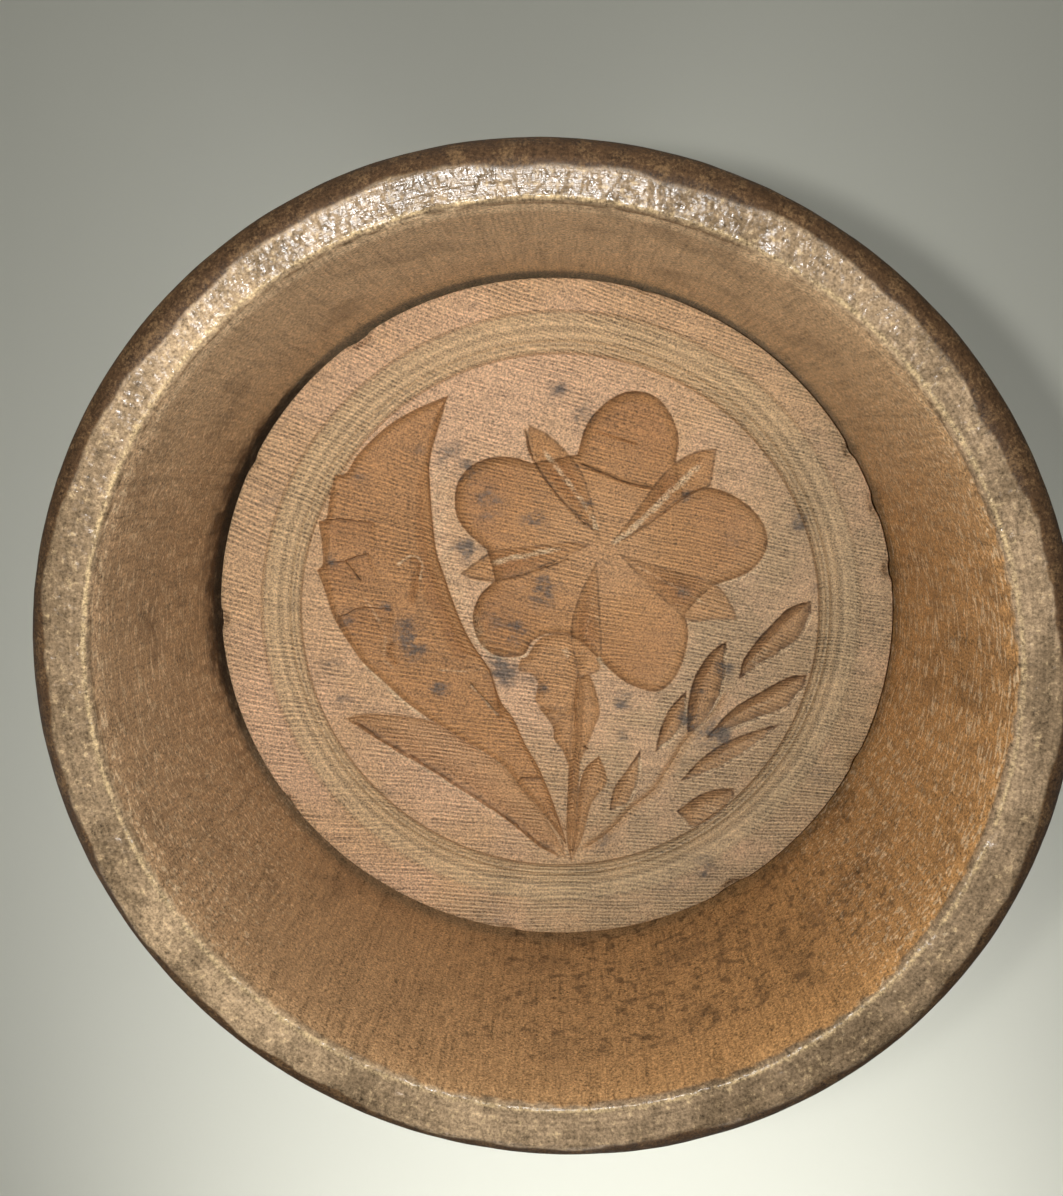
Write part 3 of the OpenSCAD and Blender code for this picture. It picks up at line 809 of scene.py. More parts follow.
def patches(tree, pattern, low, high, mask=None, strength=1.0):
    """A factor that rises from 0 to the strength as the pattern, times a mask, goes from low to high."""
    if mask is not None:
        pattern = add(tree, "ShaderNodeMath", {0: pattern, 1: mask}, operation="MULTIPLY").outputs[0]
    return add(tree, "ShaderNodeMapRange", {"Value": pattern, "From Min": low, "From Max": high,
                                            "To Max": strength}, interpolation_type="SMOOTHSTEP").outputs[0]


def coated(tree, base, coats):
    """A base colour with coats laid over it in order, each a factor and a colour."""
    for factor, tint in coats:
        base = add(tree, "ShaderNodeMix", {0: factor, 6: base, 7: tint}, data_type="RGBA").outputs[2]
    return base


def toned(tree, base, patterns):
    """A colour made lighter and darker by patterns, each around a half and with its amount."""
    tone = 1.0 - sum(amount for _, amount in patterns) / 2
    for pattern, amount in patterns:
        tone = add(tree, "ShaderNodeMath", {0: pattern, 1: amount, 2: tone},
                   operation="MULTIPLY_ADD").outputs[0]
    tone = add(tree, "ShaderNodeMath", {0: tone, 1: 0.2}, operation="MAXIMUM").outputs[0]
    return add(tree, "ShaderNodeVectorMath", {0: base, "Scale": tone}, operation="SCALE").outputs[0]


def finish_material(tree, base, roughness, height, distance_mm, shine=0.5):
    """Join colour, roughness, relief and shine to the surface shader."""
    relief = add(tree, "ShaderNodeBump", {"Height": height, "Strength": 1.0, "Distance": distance_mm * MM})
    shader = add(tree, "ShaderNodeBsdfPrincipled", {"Base Color": base, "Roughness": roughness,
                                                    "Normal": relief.outputs[0], "IOR": 1.45,
                                                    "Specular IOR Level": shine})
    add(tree, "ShaderNodeOutputMaterial", {"Surface": shader.outputs[0]})


def print_wood(colours):
    """Sycamore, turned across the grain, carved and scrubbed: pale, dry, with fine ring lines."""
    material, tree, place = start_material("sycamore_carved_scrubbed")
    given = stored_values(tree, ("cut", "deep", "edge", "bare_and_lit", "groove", "turned", "stain", "grey", "pale"))
    xyz = add(tree, "ShaderNodeSeparateXYZ", {0: place}).outputs

    # Ring lines 0.66 mm apart fan out from the left: level at the foot, down to the right at the top
    fan, foot, ring_pitch = 0.0036, 50.0, 0.66
    up = add(tree, "ShaderNodeMath", {0: xyz["Y"], 1: foot}, operation="ADD").outputs[0]
    lean = add(tree, "ShaderNodeMath", {0: up, 1: xyz["X"]}, operation="MULTIPLY").outputs[0]
    rings = add(tree, "ShaderNodeMath", {0: lean, 1: fan, 2: xyz["Y"]}, operation="MULTIPLY_ADD").outputs[0]
    rings = add(tree, "ShaderNodeMath", {0: xyz["Z"], 1: 0.1, 2: rings}, operation="MULTIPLY_ADD").outputs[0]
    drift = add(tree, "ShaderNodeTexNoise", {"Vector": place, "Scale": 0.03, "Detail": 2.0}).outputs["Fac"]
    rings = add(tree, "ShaderNodeMath", {0: drift, 1: 4.0, 2: rings}, operation="MULTIPLY_ADD").outputs[0]
    uneven = add(tree, "ShaderNodeTexNoise", {"W": rings, "Scale": 0.7, "Detail": 4.0, "Roughness": 0.7},
                 noise_dimensions="1D").outputs["Fac"]
    phase = add(tree, "ShaderNodeMath", {0: rings, 1: TURN / ring_pitch}, operation="MULTIPLY").outputs[0]
    phase = add(tree, "ShaderNodeMath", {0: uneven, 1: 5.5, 2: phase}, operation="MULTIPLY_ADD").outputs[0]
    wave = add(tree, "ShaderNodeMath", {0: phase}, operation="SINE").outputs[0]
    wave = add(tree, "ShaderNodeMath", {0: wave, 1: 0.5, 2: 0.5}, operation="MULTIPLY_ADD").outputs[0]
    line = add(tree, "ShaderNodeMath", {0: wave, 1: 1.8}, operation="POWER").outputs[0]

    # Along the rings: flecks and pores, drawn out in the grain's direction
    grain_place = add(tree, "ShaderNodeCombineXYZ", {"X": xyz["X"], "Y": rings, "Z": xyz["Z"]}).outputs[0]
    grain = noises(tree, grain_place, {"fleck": (0.3, (18, 1, 3), 0.55), "pore": (0.3, (3, 1, 1), 0.6),
                                       "streak": (1.6, (12, 1, 4), 0.6)})
    spread = noises(tree, place, {"patch": (9, (1, 1, 1), 0.6), "slow": (26, (1, 1, 1), 0.5),
                                  "grit": (0.3, (1, 1, 1), 0.7), "blot": (1.7, (1.4, 1, 1), 0.8)})
    line_depth = patches(tree, spread["patch"], 0.1, 0.8, strength=0.9)
    line = add(tree, "ShaderNodeMath", {0: line, 1: 0.4}, operation="SUBTRACT").outputs[0]
    line = add(tree, "ShaderNodeMath", {0: line, 1: line_depth, 2: 0.5}, operation="MULTIPLY_ADD").outputs[0]

    # Rings left by the turning tool, clear in the groove
    tool = add(tree, "ShaderNodeTexNoise", {"W": given["turned"], "Scale": 1.1, "Detail": 3.0,
                                            "Roughness": 0.6}, noise_dimensions="1D").outputs["Fac"]
    tool = add(tree, "ShaderNodeMapRange", {"Value": tool, "From Min": 0.3, "From Max": 0.7}).outputs[0]
    tool = add(tree, "ShaderNodeMath", {0: tool, 1: 0.5}, operation="SUBTRACT").outputs[0]
    tool = add(tree, "ShaderNodeMath", {0: tool, 1: given["groove"], 2: 0.5},
               operation="MULTIPLY_ADD").outputs[0]

    pink = patches(tree, spread["slow"], 0.3, 0.75, strength=0.6)
    grey = patches(tree, spread["patch"], 0.02, 0.6, mask=given["grey"], strength=0.65)
    broken = add(tree, "ShaderNodeMath", {0: spread["grit"], 1: 0.5, 2: spread["blot"]},
                 operation="MULTIPLY_ADD").outputs[0]
    # Painted shade with some dirt along the cuts
    cut_shade_and_grime = patches(tree, broken, 0.1, 0.9, mask=given["edge"], strength=0.95)
    # Scraped wood, and painted highlights on the lit edges of the cuts
    bare_and_lit = patches(tree, broken, 0.2, 0.9, mask=given["bare_and_lit"], strength=0.85)
    stain = patches(tree, spread["blot"], 0.12, 0.7, mask=given["stain"], strength=0.5)
    specks = patches(tree, broken, 0.5, 0.85, mask=given["stain"], strength=0.75)
    far = add(tree, "ShaderNodeMath", {0: given["grey"], 1: 2.0}, operation="POWER").outputs[0]
    far = add(tree, "ShaderNodeMath", {0: far, 1: 0.4}, operation="MULTIPLY").outputs[0]
    pores = patches(tree, grain["pore"], 0.75, 1.0, strength=0.55)
    groove = add(tree, "ShaderNodeMath", {0: given["groove"], 1: 0.8}, operation="MULTIPLY").outputs[0]
    base = coated(tree, colours.face, [
        (pink, colours.pink), (groove, colours.groove), (grey, colours.grey), (given["cut"], colours.cut),
        (given["deep"], colours.cut_deep), (far, colours.grey), (cut_shade_and_grime, colours.pore_and_cut_shade),
        (pores, colours.pore_and_cut_shade), (bare_and_lit, colours.bare_and_lit), (stain, colours.stain), (specks, colours.stain)])
    base = toned(tree, base, [(line, 0.75), (grain["fleck"], 0.45), (grain["streak"], 0.15),
                              (spread["grit"], 1.7), (tool, 0.5), (given["pale"], 0.5)])

    roughness = add(tree, "ShaderNodeMapRange", {"Value": grain["fleck"], "To Min": 0.45,
                                                 "To Max": 0.75}).outputs[0]
    height = add(tree, "ShaderNodeMath", {0: spread["grit"], 1: 0.7, 2: line},
                 operation="MULTIPLY_ADD").outputs[0]
    height = add(tree, "ShaderNodeMath", {0: tool, 1: 1.6, 2: height}, operation="MULTIPLY_ADD").outputs[0]
    finish_material(tree, base, roughness, height, 0.1)
    return material


def case_wood(colours):
    """Sycamore, turned: waxy brown bore, a lip worn grey and bare, and a dark handled outside."""
    material, tree, place = start_material("sycamore_turned_worn")
    given = stored_values(tree, ("lip", "lip_wear_and_highlight", "outside", "warm", "near_print_darkening", "spots", "painted_light_top", "pale",
                                 "grimed", "flecked"))

    # Growth rings stand across X, so they run down the bore at its top and foot
    spread = noises(tree, place, {"ring": (0.9, (1, 40, 24), 0.7), "ray": (0.5, (1, 5, 1.2), 0.3),
                                  "fibre": (0.5, (1, 1, 12), 0.6), "patch": (13, (1, 1, 1), 0.6),
                                  "blot": (3.0, (1, 1, 1), 0.75), "fleck": (1.0, (1, 1, 1), 0.7),
                                  "spot": (1.8, (1, 1, 1), 0.3), "dent": (1.1, (1, 1, 1), 0.35),
                                  "grit": (0.36, (1, 1, 1), 0.7)})
    broken = add(tree, "ShaderNodeMath", {0: spread["grit"], 1: 0.5, 2: spread["blot"]},
                 operation="MULTIPLY_ADD").outputs[0]

    # Rings left by the turning tool, across the lip and down the outside
    xyz = add(tree, "ShaderNodeSeparateXYZ", {0: place}).outputs
    flat = add(tree, "ShaderNodeCombineXYZ", {"X": xyz["X"], "Y": xyz["Y"]}).outputs[0]
    radius = add(tree, "ShaderNodeVectorMath", {0: flat}, operation="LENGTH").outputs["Value"]
    across = add(tree, "ShaderNodeMath", {0: radius, 1: xyz["Z"]}, operation="ADD").outputs[0]
    tool = add(tree, "ShaderNodeTexNoise", {"W": across, "Scale": 1.1, "Detail": 3.0, "Roughness": 0.6},
               noise_dimensions="1D").outputs["Fac"]
    tool = add(tree, "ShaderNodeMapRange", {"Value": tool, "From Min": 0.28, "From Max": 0.72}).outputs[0]

    ring_lines = patches(tree, spread["ring"], 0.62, 0.85, strength=0.4)
    rays = patches(tree, spread["ray"], 0.6, 0.8, mask=given["flecked"], strength=0.55)
    smudge = patches(tree, spread["patch"], 0.55, 0.95, strength=0.35)
    # Darker next to the print, most on the left
    near_print_darkening = patches(tree, broken, 0.15, 0.6, mask=given["near_print_darkening"], strength=0.85)
    spots = patches(tree, spread["spot"], 0.55, 1.0, mask=given["spots"], strength=0.6)
    specks = patches(tree, spread["fleck"], 0.55, 0.85, mask=given["spots"], strength=0.65)
    mottled = add(tree, "ShaderNodeMath", {0: spread["blot"], 1: 0.6, 2: spread["patch"]},
                  operation="MULTIPLY_ADD").outputs[0]
    greying = patches(tree, mottled, 0.5, 1.2, strength=0.75)
    pale = patches(tree, spread["fleck"], 0.6, 0.95, strength=0.5)
    worn = patches(tree, broken, 0.7, 1.1, strength=0.75)
    # The lip's worn inner edge, paler, with a painted highlight along it
    lip_wear_and_highlight = patches(tree, broken, 0.15, 0.95, mask=given["lip_wear_and_highlight"], strength=0.9)
    frayed = add(tree, "ShaderNodeMath", {0: broken, 1: 0.6, 2: given["outside"]},
                 operation="MULTIPLY_ADD").outputs[0]
    handled = patches(tree, frayed, 0.65, 1.25)

    # Painted light: the bore's top side is lighter, most just above the print
    bore = coated(tree, colours.bore, [(given["warm"], colours.bore_warm), (given["painted_light_top"], colours.fleck),
                                       (smudge, colours.bore_dark), (ring_lines, colours.bore_dark),
                                       (rays, colours.fleck), (spots, colours.bore_dark),
                                       (specks, colours.bore_dark),
                                       (near_print_darkening, colours.bore_dark)])
    lip = coated(tree, colours.lip, [(given["pale"], colours.lip_pale), (given["grimed"], colours.lip_grey),
                                     (greying, colours.lip_grey), (pale, colours.lip_wear_and_highlight),
                                     (lip_wear_and_highlight, colours.lip_wear_and_highlight)])
    outside = coated(tree, colours.patina, [(worn, colours.patina_worn)])
    bore = toned(tree, bore, [(spread["ring"], 0.55), (spread["fibre"], 0.35), (spread["fleck"], 0.4),
                              (spread["grit"], 1.6)])
    base = toned(tree, coated(tree, lip, [(handled, outside)]),
                 [(spread["ring"], 0.35), (spread["fibre"], 0.3), (spread["fleck"], 0.55), (spread["grit"], 1.2),
                  (tool, 0.4)])
    base = coated(tree, bore, [(given["lip"], base)])
    roughness = add(tree, "ShaderNodeMapRange", {"Value": spread["fleck"], "To Min": 0.3,
                                                 "To Max": 0.6}).outputs[0]
    # The lip is polished by hands and finely dented, and the dark outside is dull
    polish = add(tree, "ShaderNodeMath", {0: given["lip"], 1: given["outside"]}, operation="SUBTRACT").outputs[0]
    gloss = add(tree, "ShaderNodeMath", {0: given["outside"], 1: -0.6, 2: polish},
                operation="MULTIPLY_ADD").outputs[0]
    roughness = add(tree, "ShaderNodeMath", {0: gloss, 1: -0.24, 2: roughness},
                    operation="MULTIPLY_ADD").outputs[0]
    height = add(tree, "ShaderNodeMath", {0: spread["fleck"], 1: 0.8, 2: spread["grit"]},
                 operation="MULTIPLY_ADD").outputs[0]
    tooled = add(tree, "ShaderNodeMath", {0: tool, 1: 0.5}, operation="MULTIPLY").outputs[0]
    dented = add(tree, "ShaderNodeMath", {0: spread["dent"], 1: 2.1, 2: tooled},
                 operation="MULTIPLY_ADD").outputs[0]
    rough = add(tree, "ShaderNodeMath", {0: polish, 1: -0.85, 2: 1.0}, operation="MULTIPLY_ADD").outputs[0]
    height = add(tree, "ShaderNodeMath", {0: height, 1: rough}, operation="MULTIPLY").outputs[0]
    height = add(tree, "ShaderNodeMath", {0: dented, 1: polish, 2: height}, operation="MULTIPLY_ADD").outputs[0]
    finish_material(tree, base, roughness, height, 0.045, shine=0.2)
    return material


def handle_wood(colours):
    """Sycamore, turned and handled for years: dark, smooth and a little shiny."""
    material, tree, place = start_material("sycamore_turned_handled")
    spread = noises(tree, place, {"fibre": (0.8, (1, 1, 14), 0.6), "blot": (8, (1, 1, 1.5), 0.65),
                                  "grit": (0.6, (1, 1, 2), 0.6)})
    worn = patches(tree, spread["blot"], 0.35, 0.85, strength=0.9)
    base = coated(tree, colours.patina, [(worn, colours.patina_worn)])
    base = toned(tree, base, [(spread["fibre"], 0.5), (spread["grit"], 0.4)])
    roughness = add(tree, "ShaderNodeMapRange", {"Value": spread["blot"], "To Min": 0.3,
                                                 "To Max": 0.55}).outputs[0]
    finish_material(tree, base, roughness, spread["fibre"], 0.05)
    return material


# Operators, one for each piece and one for the stage

# The camera of the photograph: its place from the centre of the mouth, the way it looks, and its focal length
CAMERA_FROM_MOUTH = Vector((2.75, 29.5, 127.9)) * MM
CAMERA_LOOKS = Vector((-0.0356, -0.1439, -0.989))
FRAME_HEIGHT_PX = 1196
FOCAL_PX = 1050
SENSOR_MM = 36


class MOULD_OT_stage(bpy.types.Operator):
    """Set the camera, the lamps and the floor"""
    bl_idname = "mould.stage"
    bl_label = "Stage"

    def execute(self, context):
        scene = context.scene
        camera = bpy.data.cameras.new("camera")
        camera.lens = SENSOR_MM * FOCAL_PX / FRAME_HEIGHT_PX
        camera.sensor_width = SENSOR_MM
        camera.clip_start = 0.01
        view = bpy.data.objects.new("camera", camera)
        scene.collection.objects.link(view)
        ahead = CAMERA_LOOKS.normalized()
        right = ahead.cross(Vector((0, 1, 0))).normalized()
        turned = Matrix((right, right.cross(ahead), -ahead)).transposed()
        view.matrix_world = Matrix.Translation(Vector((0, 0, MOUTH_Z)) + CAMERA_FROM_MOUTH) @ turned.to_4x4()
        scene.camera = view

        # A small soft lamp beside the camera lights the bore right to its foot, and large ones light the sides
        mouth = Vector((0, 0, MOUTH_Z))
        for name, place, aim, size, power, beam in (
                ("key", mouth + Vector((-14, 30, 136)) * MM, (0, 0, FACE_Z), 0.007, 0.3, 180),
                ("front", (0.05, -0.42, 0.15), (0.02, -0.25, 0), 0.36, 0.63, 70),
                ("left", (-0.95, -0.45, 0.13), (0, 0, 0.12), 0.5, 1.4, 180),
                ("right", (0.95, -0.3, 0.09), (0, 0, 0.12), 0.5, 0.8, 180),
                ("back", (-0.1, 1.1, 0.2), (0, 0, 0.12), 0.5, 1.8, 180)):
            lamp = bpy.data.lights.new(name, "AREA")
            lamp.spread = math.radians(beam)
            lamp.shape = "DISK"
            lamp.size = size
            lamp.energy = power
            made = bpy.data.objects.new(name, lamp)
            made.location = place
            made.rotation_euler = (Vector(aim) - made.location).to_track_quat("-Z", "Y").to_euler()
            scene.collection.objects.link(made)
        world = bpy.data.worlds.new("studio")
        world.use_nodes = True
        world.node_tree.nodes["Background"].inputs["Color"].default_value = linear("#dfdfd9")
        world.node_tree.nodes["Background"].inputs["Strength"].default_value = 0.14
        scene.world = world

        half = 12.0
        mesh = bpy.data.meshes.new("floor")
        mesh.from_pydata([(-half, -half, 0), (half, -half, 0), (half, half, 0), (-half, half, 0)],
                         [], [(0, 1, 2, 3)])
        floor = new_object("floor", mesh)
        cloth = bpy.data.materials.new("pale_cloth")
        cloth.use_nodes = True
        shader = cloth.node_tree.nodes["Principled BSDF"]
        shader.inputs["Base Color"].default_value = linear("#ccccbf")
        shader.inputs["Roughness"].default_value = 0.9
        mesh.materials.append(cloth)
        scene.view_settings.view_transform = "Standard"
        return {"FINISHED"}


# Nicks in the mouth's inner edge: angle in degrees, width and depth in millimetres
MOUTH_NICKS = [(-18.8, 1.6, 0.9), (-33.4, 2.0, 0.9), (103.5, 1.2, 0.5), (130.7, 1.8, 0.6), (20, 1.2, 0.3),
               (200, 1.4, 0.4), (250, 1.6, 0.4), (300, 1.3, 0.4), (160, 1.2, 0.4), (65, 1.4, 0.4)]
CASE_OVAL_ANGLE = math.radians(37)


class MOULD_OT_case(bpy.types.Operator):
    """Turn the case, with its lip, its bore, its closed end and its neck"""
    bl_idname = "mould.case"
    bl_label = "Case"

    def execute(self, context):
        sizes = context.scene.mould_sizes
        mouth, seat, neck_end = MOUTH_Z / MM, SEAT_Z / MM, NECK_Z / MM
        bore, wall_r = sizes.bore_r / MM, (sizes.bore_r + sizes.wall) / MM
        lip_r, rounding = LIP_R / MM - 0.4, sizes.lip_round / MM
        lip_z = mouth - sizes.lip_h / MM
        mouth_round = sizes.mouth_round / MM
        inner_z = mouth - 0.9
        end_z = seat - sizes.end_t / MM
        shoulder = sizes.shoulder_r / MM
        hole = (sizes.rod_r + sizes.rod_gap) / MM
        neck = hole + sizes.neck_wall / MM
        bead, cove, line_deep, line_apart = 3.0, 5.0, 0.8, 3.5
        under = math.degrees(math.acos((wall_r - lip_r + rounding) / rounding))
        side_top = lip_z + rounding - rounding * math.sin(math.radians(under))
        lines = [seat + part * (lip_z - seat) + side * line_apart for part in (0.5, 0.18) for side in (0.5, -0.5)]
        side = [(wall_r, side_top)]
        for z in lines:
            side += straight(side[-1], (wall_r, z + line_deep + 0.15), 2.0)[1:]
            side += [(wall_r - 0.04, z + line_deep), (wall_r - line_deep, z + 0.1), (wall_r - line_deep, z - 0.1),
                     (wall_r - 0.04, z - line_deep), (wall_r, z - line_deep - 0.15)]
        side += straight(side[-1], (wall_r, end_z + shoulder), 2.0)[1:]
        stretches = [
            Stretch(straight((hole, seat), (bore - 0.6, seat), 6)),
            Stretch(arc(bore - 0.6, seat + 0.6, 0.6, -90, 0, 3)),
            Stretch(straight((bore, seat + 0.6), (bore, mouth - 4), 1.2)),
            Stretch(straight((bore, mouth - 4), (bore + 0.3, inner_z - mouth_round), 0.5), wear=0.4),
            Stretch(arc(bore + 0.3 + mouth_round, inner_z - mouth_round, mouth_round, 180, 100, 6), wear=1),
            Stretch(straight((bore + 0.3 + mouth_round, inner_z), (lip_r - rounding, mouth), 0.45), wear=0.8),
            Stretch(arc(lip_r - rounding, mouth - rounding, rounding, 90, 45, 6), wear=0.7),
            Stretch(arc(lip_r - rounding, mouth - rounding, rounding, 45, 0, 6), wear=0.5),
            Stretch(straight((lip_r, mouth - rounding), (lip_r, lip_z + rounding), 0.8),
                    wear=0.3),
            Stretch(arc(lip_r - rounding, lip_z + rounding, rounding, 0, -under, 8), wear=0.2),
            Stretch(side, wear=0.15),
            Stretch(arc(wall_r - shoulder, end_z + shoulder, shoulder, 0, -90, 20), wear=0.2),
            Stretch(straight((wall_r - shoulder, end_z), (neck + cove, end_z), 2.5)),
            Stretch(arc(neck + cove, end_z - cove, cove, 90, 180, 8)),
            Stretch(straight((neck, end_z - cove), (neck, neck_end + 2 * bead), 1.0)),
            Stretch(arc(neck, neck_end + bead, bead, 90, -90, 14)),
            Stretch(straight((neck, neck_end), (hole, neck_end), 2.5)),
            Stretch(straight((hole, neck_end), (hole, seat), 6)),
        ]
        wood = case_wood(context.scene.mould_colours)
        swell = sizes.out_of_round * math.cos(2 * CASE_OVAL_ANGLE)
        case = turn_on_lathe("case_turned", stretches, sizes.segments, wood,
                             out_of_round=sizes.out_of_round, oval_angle=-CASE_OVAL_ANGLE,
                             oval_of=lambda z: 0.3 + 0.7 * ease(z, seat + 10, mouth - 5),
                             wear=0.45 * MM, wear_size=5 * MM, seed=3.0)
        self.wear_mouth(case.data, bore, mouth, lip_r, swell)
        self.mark(case.data, bore, mouth, seat, lip_r - rounding, sizes.out_of_round, swell)
        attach(case, "case")
        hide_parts("case")
        return {"FINISHED"}

    @staticmethod
    def wear_mouth(mesh, bore, mouth, lip_r, swell):
        """Nick the mouth's inner edge, and keep the oval lip inside the case's own size."""
        points = vertices(mesh)
        points[:, :2] *= 1 - swell
        radius = np.hypot(points[:, 0], points[:, 1])
        angle = np.arctan2(points[:, 1], points[:, 0])
        # Round the print the bore has shrunk across the grain, half as much as the print itself
        low = 1 - ease(points[:, 2], FACE_Z / MM + 5, FACE_Z / MM + 35)
        low *= (radius < bore + 1) & (points[:, 2] > SEAT_Z / MM + 1)
        shrunk = 1 + 0.5 * PRINT_OVAL * low * (np.cos(2 * (angle + PRINT_OVAL_ANGLE)) - 1)
        points[:, :2] *= shrunk[:, None]
        for degrees, width, deep in MOUTH_NICKS:
            apart = (angle - math.radians(degrees) + math.pi) % TURN - math.pi
            from_edge = np.hypot(radius - bore, points[:, 2] - mouth)
            dent = deep * np.exp(-(apart * bore / width) ** 2 - (from_edge / 1.6) ** 2)
            points[:, 0] += dent * np.cos(angle)
            points[:, 1] += dent * np.sin(angle)
            points[:, 2] -= 0.7 * dent
        points[:, 2] = np.minimum(points[:, 2], mouth)
        points[:, :2] /= np.maximum(np.hypot(points[:, 0], points[:, 1]) / (lip_r - 0.01), 1)[:, None]
        set_vertices(mesh, points)

    @staticmethod
    def mark(mesh, bore, mouth, seat, flat_r, out_of_round, swell):
        """Store where the wood is lip, pale, handled outside, warm, darker next to the print, flecked and spotted,
        and where light is painted on the lip's inner edge and the bore's top.
        """
        points = vertices(mesh)
        angle = np.arctan2(points[:, 1], points[:, 0])
        oval = (1 + out_of_round * np.cos(2 * (angle + CASE_OVAL_ANGLE))) * (1 - swell)
        # The radius as it was turned, before the mouth became oval
        radius = np.hypot(points[:, 0], points[:, 1]) / oval
        height = points[:, 2]
        ragged = 0.35 * np.sin(7 * angle + 1) + 0.25 * np.sin(17 * angle + 2) + 0.15 * np.sin(41 * angle)
        upper = ease(np.sin(angle + math.radians(12)), -0.1, 0.4)
        # The dark outside comes over the lip's rounding on the upper half of the mouth
        edge_r = flat_r + 0.3 - 1.2 * upper + ragged
        outside = np.maximum(ease(radius, edge_r, edge_r + 1.1), ease(mouth - height, 2.4, 3.2))
        outside *= ease(radius, bore + 0.5, bore + 1.5)
        below = height < seat - 0.5
        into_bore = (radius < bore + 1.6) & ~below
        store(mesh, "outside", np.where(below, 1, np.where(into_bore, 0, outside)))
        lip_r = bore + 0.15 + 0.35 * ragged + 0.1 * np.sin(97 * angle)
        above = (height > mouth - 2.2) * ease(radius, lip_r, lip_r + 0.2)
        store(mesh, "lip", np.where(into_bore, above, 1))
        upper_left = 0.3 * ease(np.cos(angle - math.radians(115)), 0.2, 0.95)
        lower_left = 0.4 * ease(np.cos(angle - math.radians(228)), 0.6, 1.0)
        store(mesh, "pale", upper_left + lower_left)
        grimed = [part * ease(np.cos(angle - math.radians(degrees)), 0.75, 1.0)
                  for degrees, part in ((85, 0.55), (174, 0.5), (315, 0.45))]
        store(mesh, "grimed", np.max(grimed, axis=0))
        # The lip's worn inner edge: paler wood, with a painted highlight along it
        from_edge = np.hypot(radius - bore - 0.9, height - mouth + 1)
        store(mesh, "lip_wear_and_highlight", 0.9 * np.exp(-(from_edge / 0.4) ** 2))
        store(mesh, "warm", 0.5 + 0.5 * np.cos(angle + math.radians(20)))
        from_print = height - seat - (FACE_Z - SEAT_Z) / MM
        # Darker next to the print, most on the left
        left = ease(-np.cos(angle + math.radians(12)), 0.72, 1.0)
        reach = 0.6 + 6 * left
        darkening_near_print = np.exp(-np.maximum(from_print, 0) / reach) * (0.15 + 0.8 * left)
        store(mesh, "near_print_darkening", np.where(into_bore, darkening_near_print, 0))
        # Painted light: the bore's top side lighter, most just above the print
        foot = np.exp(-np.maximum(from_print, 0) / 10)
        store(mesh, "painted_light_top", np.where(into_bore, (0.55 + 0.35 * foot) * ease(np.sin(angle), 0.2, 0.95), 0))
        store(mesh, "flecked", np.where(into_bore, ease(np.abs(np.cos(angle)), 0.35, 0.85), 0))
        low_right = ease(np.cos(angle + math.radians(65)), 0.35, 0.95)
        store(mesh, "spots", np.where(into_bore, low_right * ease(mouth - height, 4, 14), 0.0))


class MOULD_OT_print(bpy.types.Operator):
    """Make the carved print, with its turned groove and its threaded hole"""
    bl_idname = "mould.print"
    bl_label = "Print"

    def execute(self, context):
        sizes = context.scene.mould_sizes
        mesh = make_print_mesh(sizes, 480)
        mesh.materials.append(print_wood(context.scene.mould_colours))
        made = new_object("print_carved", mesh)
        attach(made, "print")
        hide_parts("print")
        return {"FINISHED"}


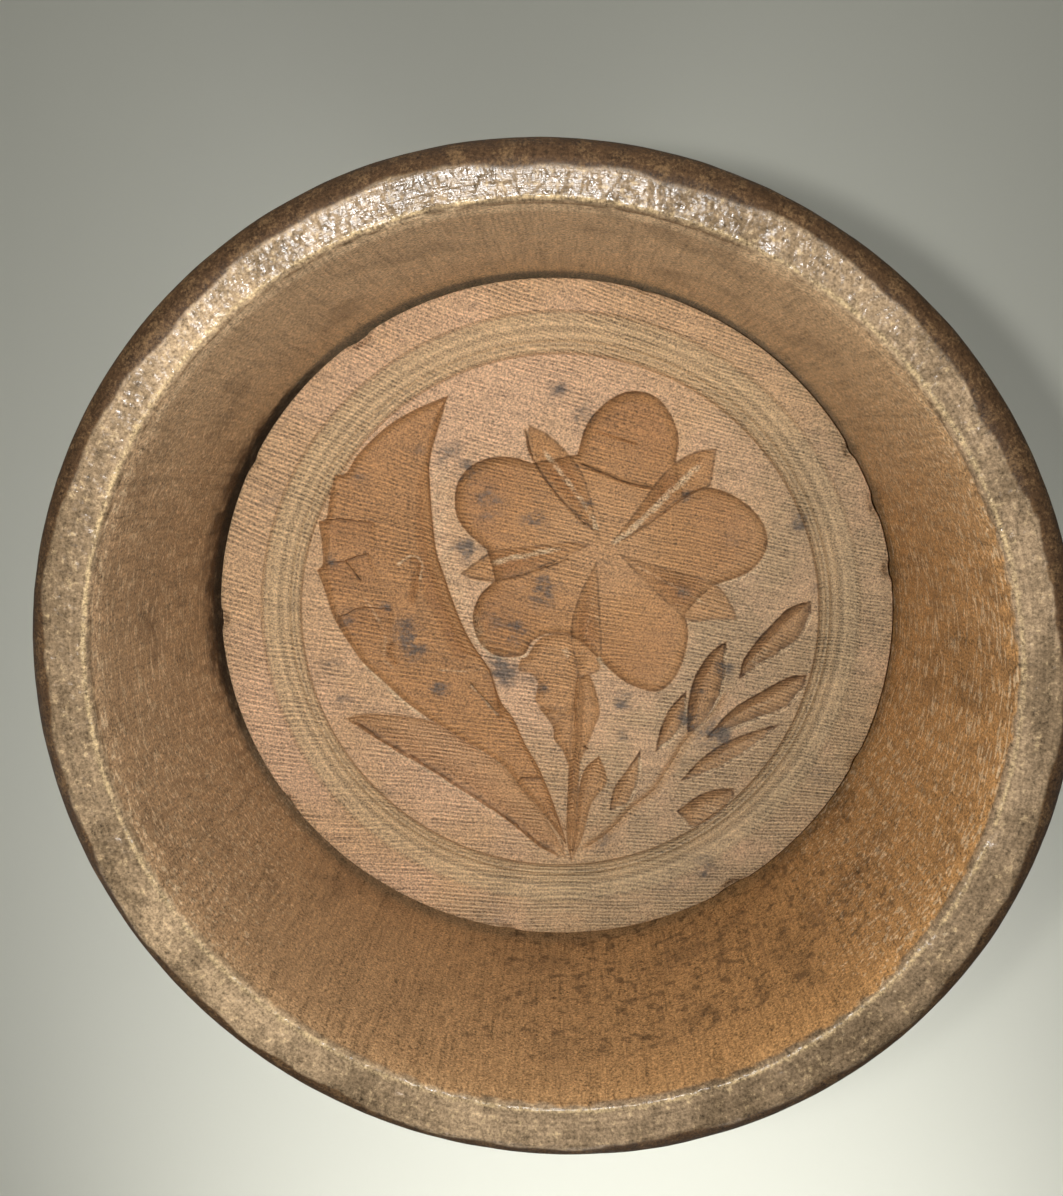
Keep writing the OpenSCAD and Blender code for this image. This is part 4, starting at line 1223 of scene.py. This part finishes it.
class MOULD_OT_handle(bpy.types.Operator):
    """Turn the handle, with its knob, its rod and its thread"""
    bl_idname = "mould.handle"
    bl_label = "Handle"

    def execute(self, context):
        sizes = context.scene.mould_sizes
        knob_r, knob_h, rod, seat = KNOB_R / MM, sizes.knob_h / MM, sizes.rod_r / MM, SEAT_Z / MM
        foot, dome, bead = 6.0, 20.0, 4.5
        waist = rod - 1.2
        bead_z = knob_h - bead - 1
        dome_top = math.degrees(math.acos((waist - knob_r + dome) / dome))
        bead_top = math.degrees(math.acos((rod - waist) / bead))
        thread, root = sizes.thread_r / MM, sizes.thread_r / MM - 1.4
        ridges = []
        for turn in range(3):
            z = seat + 1 + 4 * turn
            ridges += [(root, z), (thread, z + 0.7), (thread, z + 2), (root, z + 2.7)]
        stretches = [
            Stretch(straight((0, 0), (knob_r - foot, 0), 2)),
            Stretch(arc(knob_r - foot, foot, foot, -90, 0, 12), wear=0.4),
            Stretch(arc(knob_r - dome, foot, dome, 0, dome_top, 30), wear=0.4),
            Stretch(straight((waist, foot + dome * math.sin(math.radians(dome_top))), (waist, bead_z - bead), 1)),
            Stretch(arc(waist, bead_z, bead, -90, bead_top, 18), wear=0.2),
            Stretch(straight((rod, bead_z + bead * math.sin(math.radians(bead_top))), (rod, seat - 0.6), 1.5)),
            Stretch([(rod - 0.6, seat), (root, seat), *ridges, (root, THREAD_Z / MM - 0.5),
                     (root - 0.5, THREAD_Z / MM), (0, THREAD_Z / MM)]),
        ]
        wood = handle_wood(context.scene.mould_colours)
        made = turn_on_lathe("handle_turned", stretches, 192, wood, wear=0.3 * MM, wear_size=9 * MM, seed=8.0)
        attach(made, "handle")
        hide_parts("handle")
        return {"FINISHED"}


class MOULD_PT_panel(bpy.types.Panel):
    """Lists the mould's pieces"""
    bl_idname = "MOULD_PT_panel"
    bl_label = "Butter mould"
    bl_space_type = "VIEW_3D"
    bl_region_type = "UI"
    bl_category = "Butter mould"

    def draw(self, context):
        for piece in ("stage", "case", "print", "handle"):
            self.layout.operator("mould." + piece)


CLASSES = (MouldSizes, MouldColours, MOULD_OT_stage, MOULD_OT_case, MOULD_OT_print, MOULD_OT_handle,
           MOULD_PT_panel)


def register():
    for each in CLASSES:
        bpy.utils.register_class(each)
    bpy.types.Scene.mould_sizes = PointerProperty(type=MouldSizes)
    bpy.types.Scene.mould_colours = PointerProperty(type=MouldColours)


def unregister():
    del bpy.types.Scene.mould_colours
    del bpy.types.Scene.mould_sizes
    for each in reversed(CLASSES):
        bpy.utils.unregister_class(each)


def main():
    register()
    bpy.ops.mould.stage()
    bpy.ops.mould.case()
    bpy.ops.mould.print()
    bpy.ops.mould.handle()


if __name__ == "__main__":
    main()
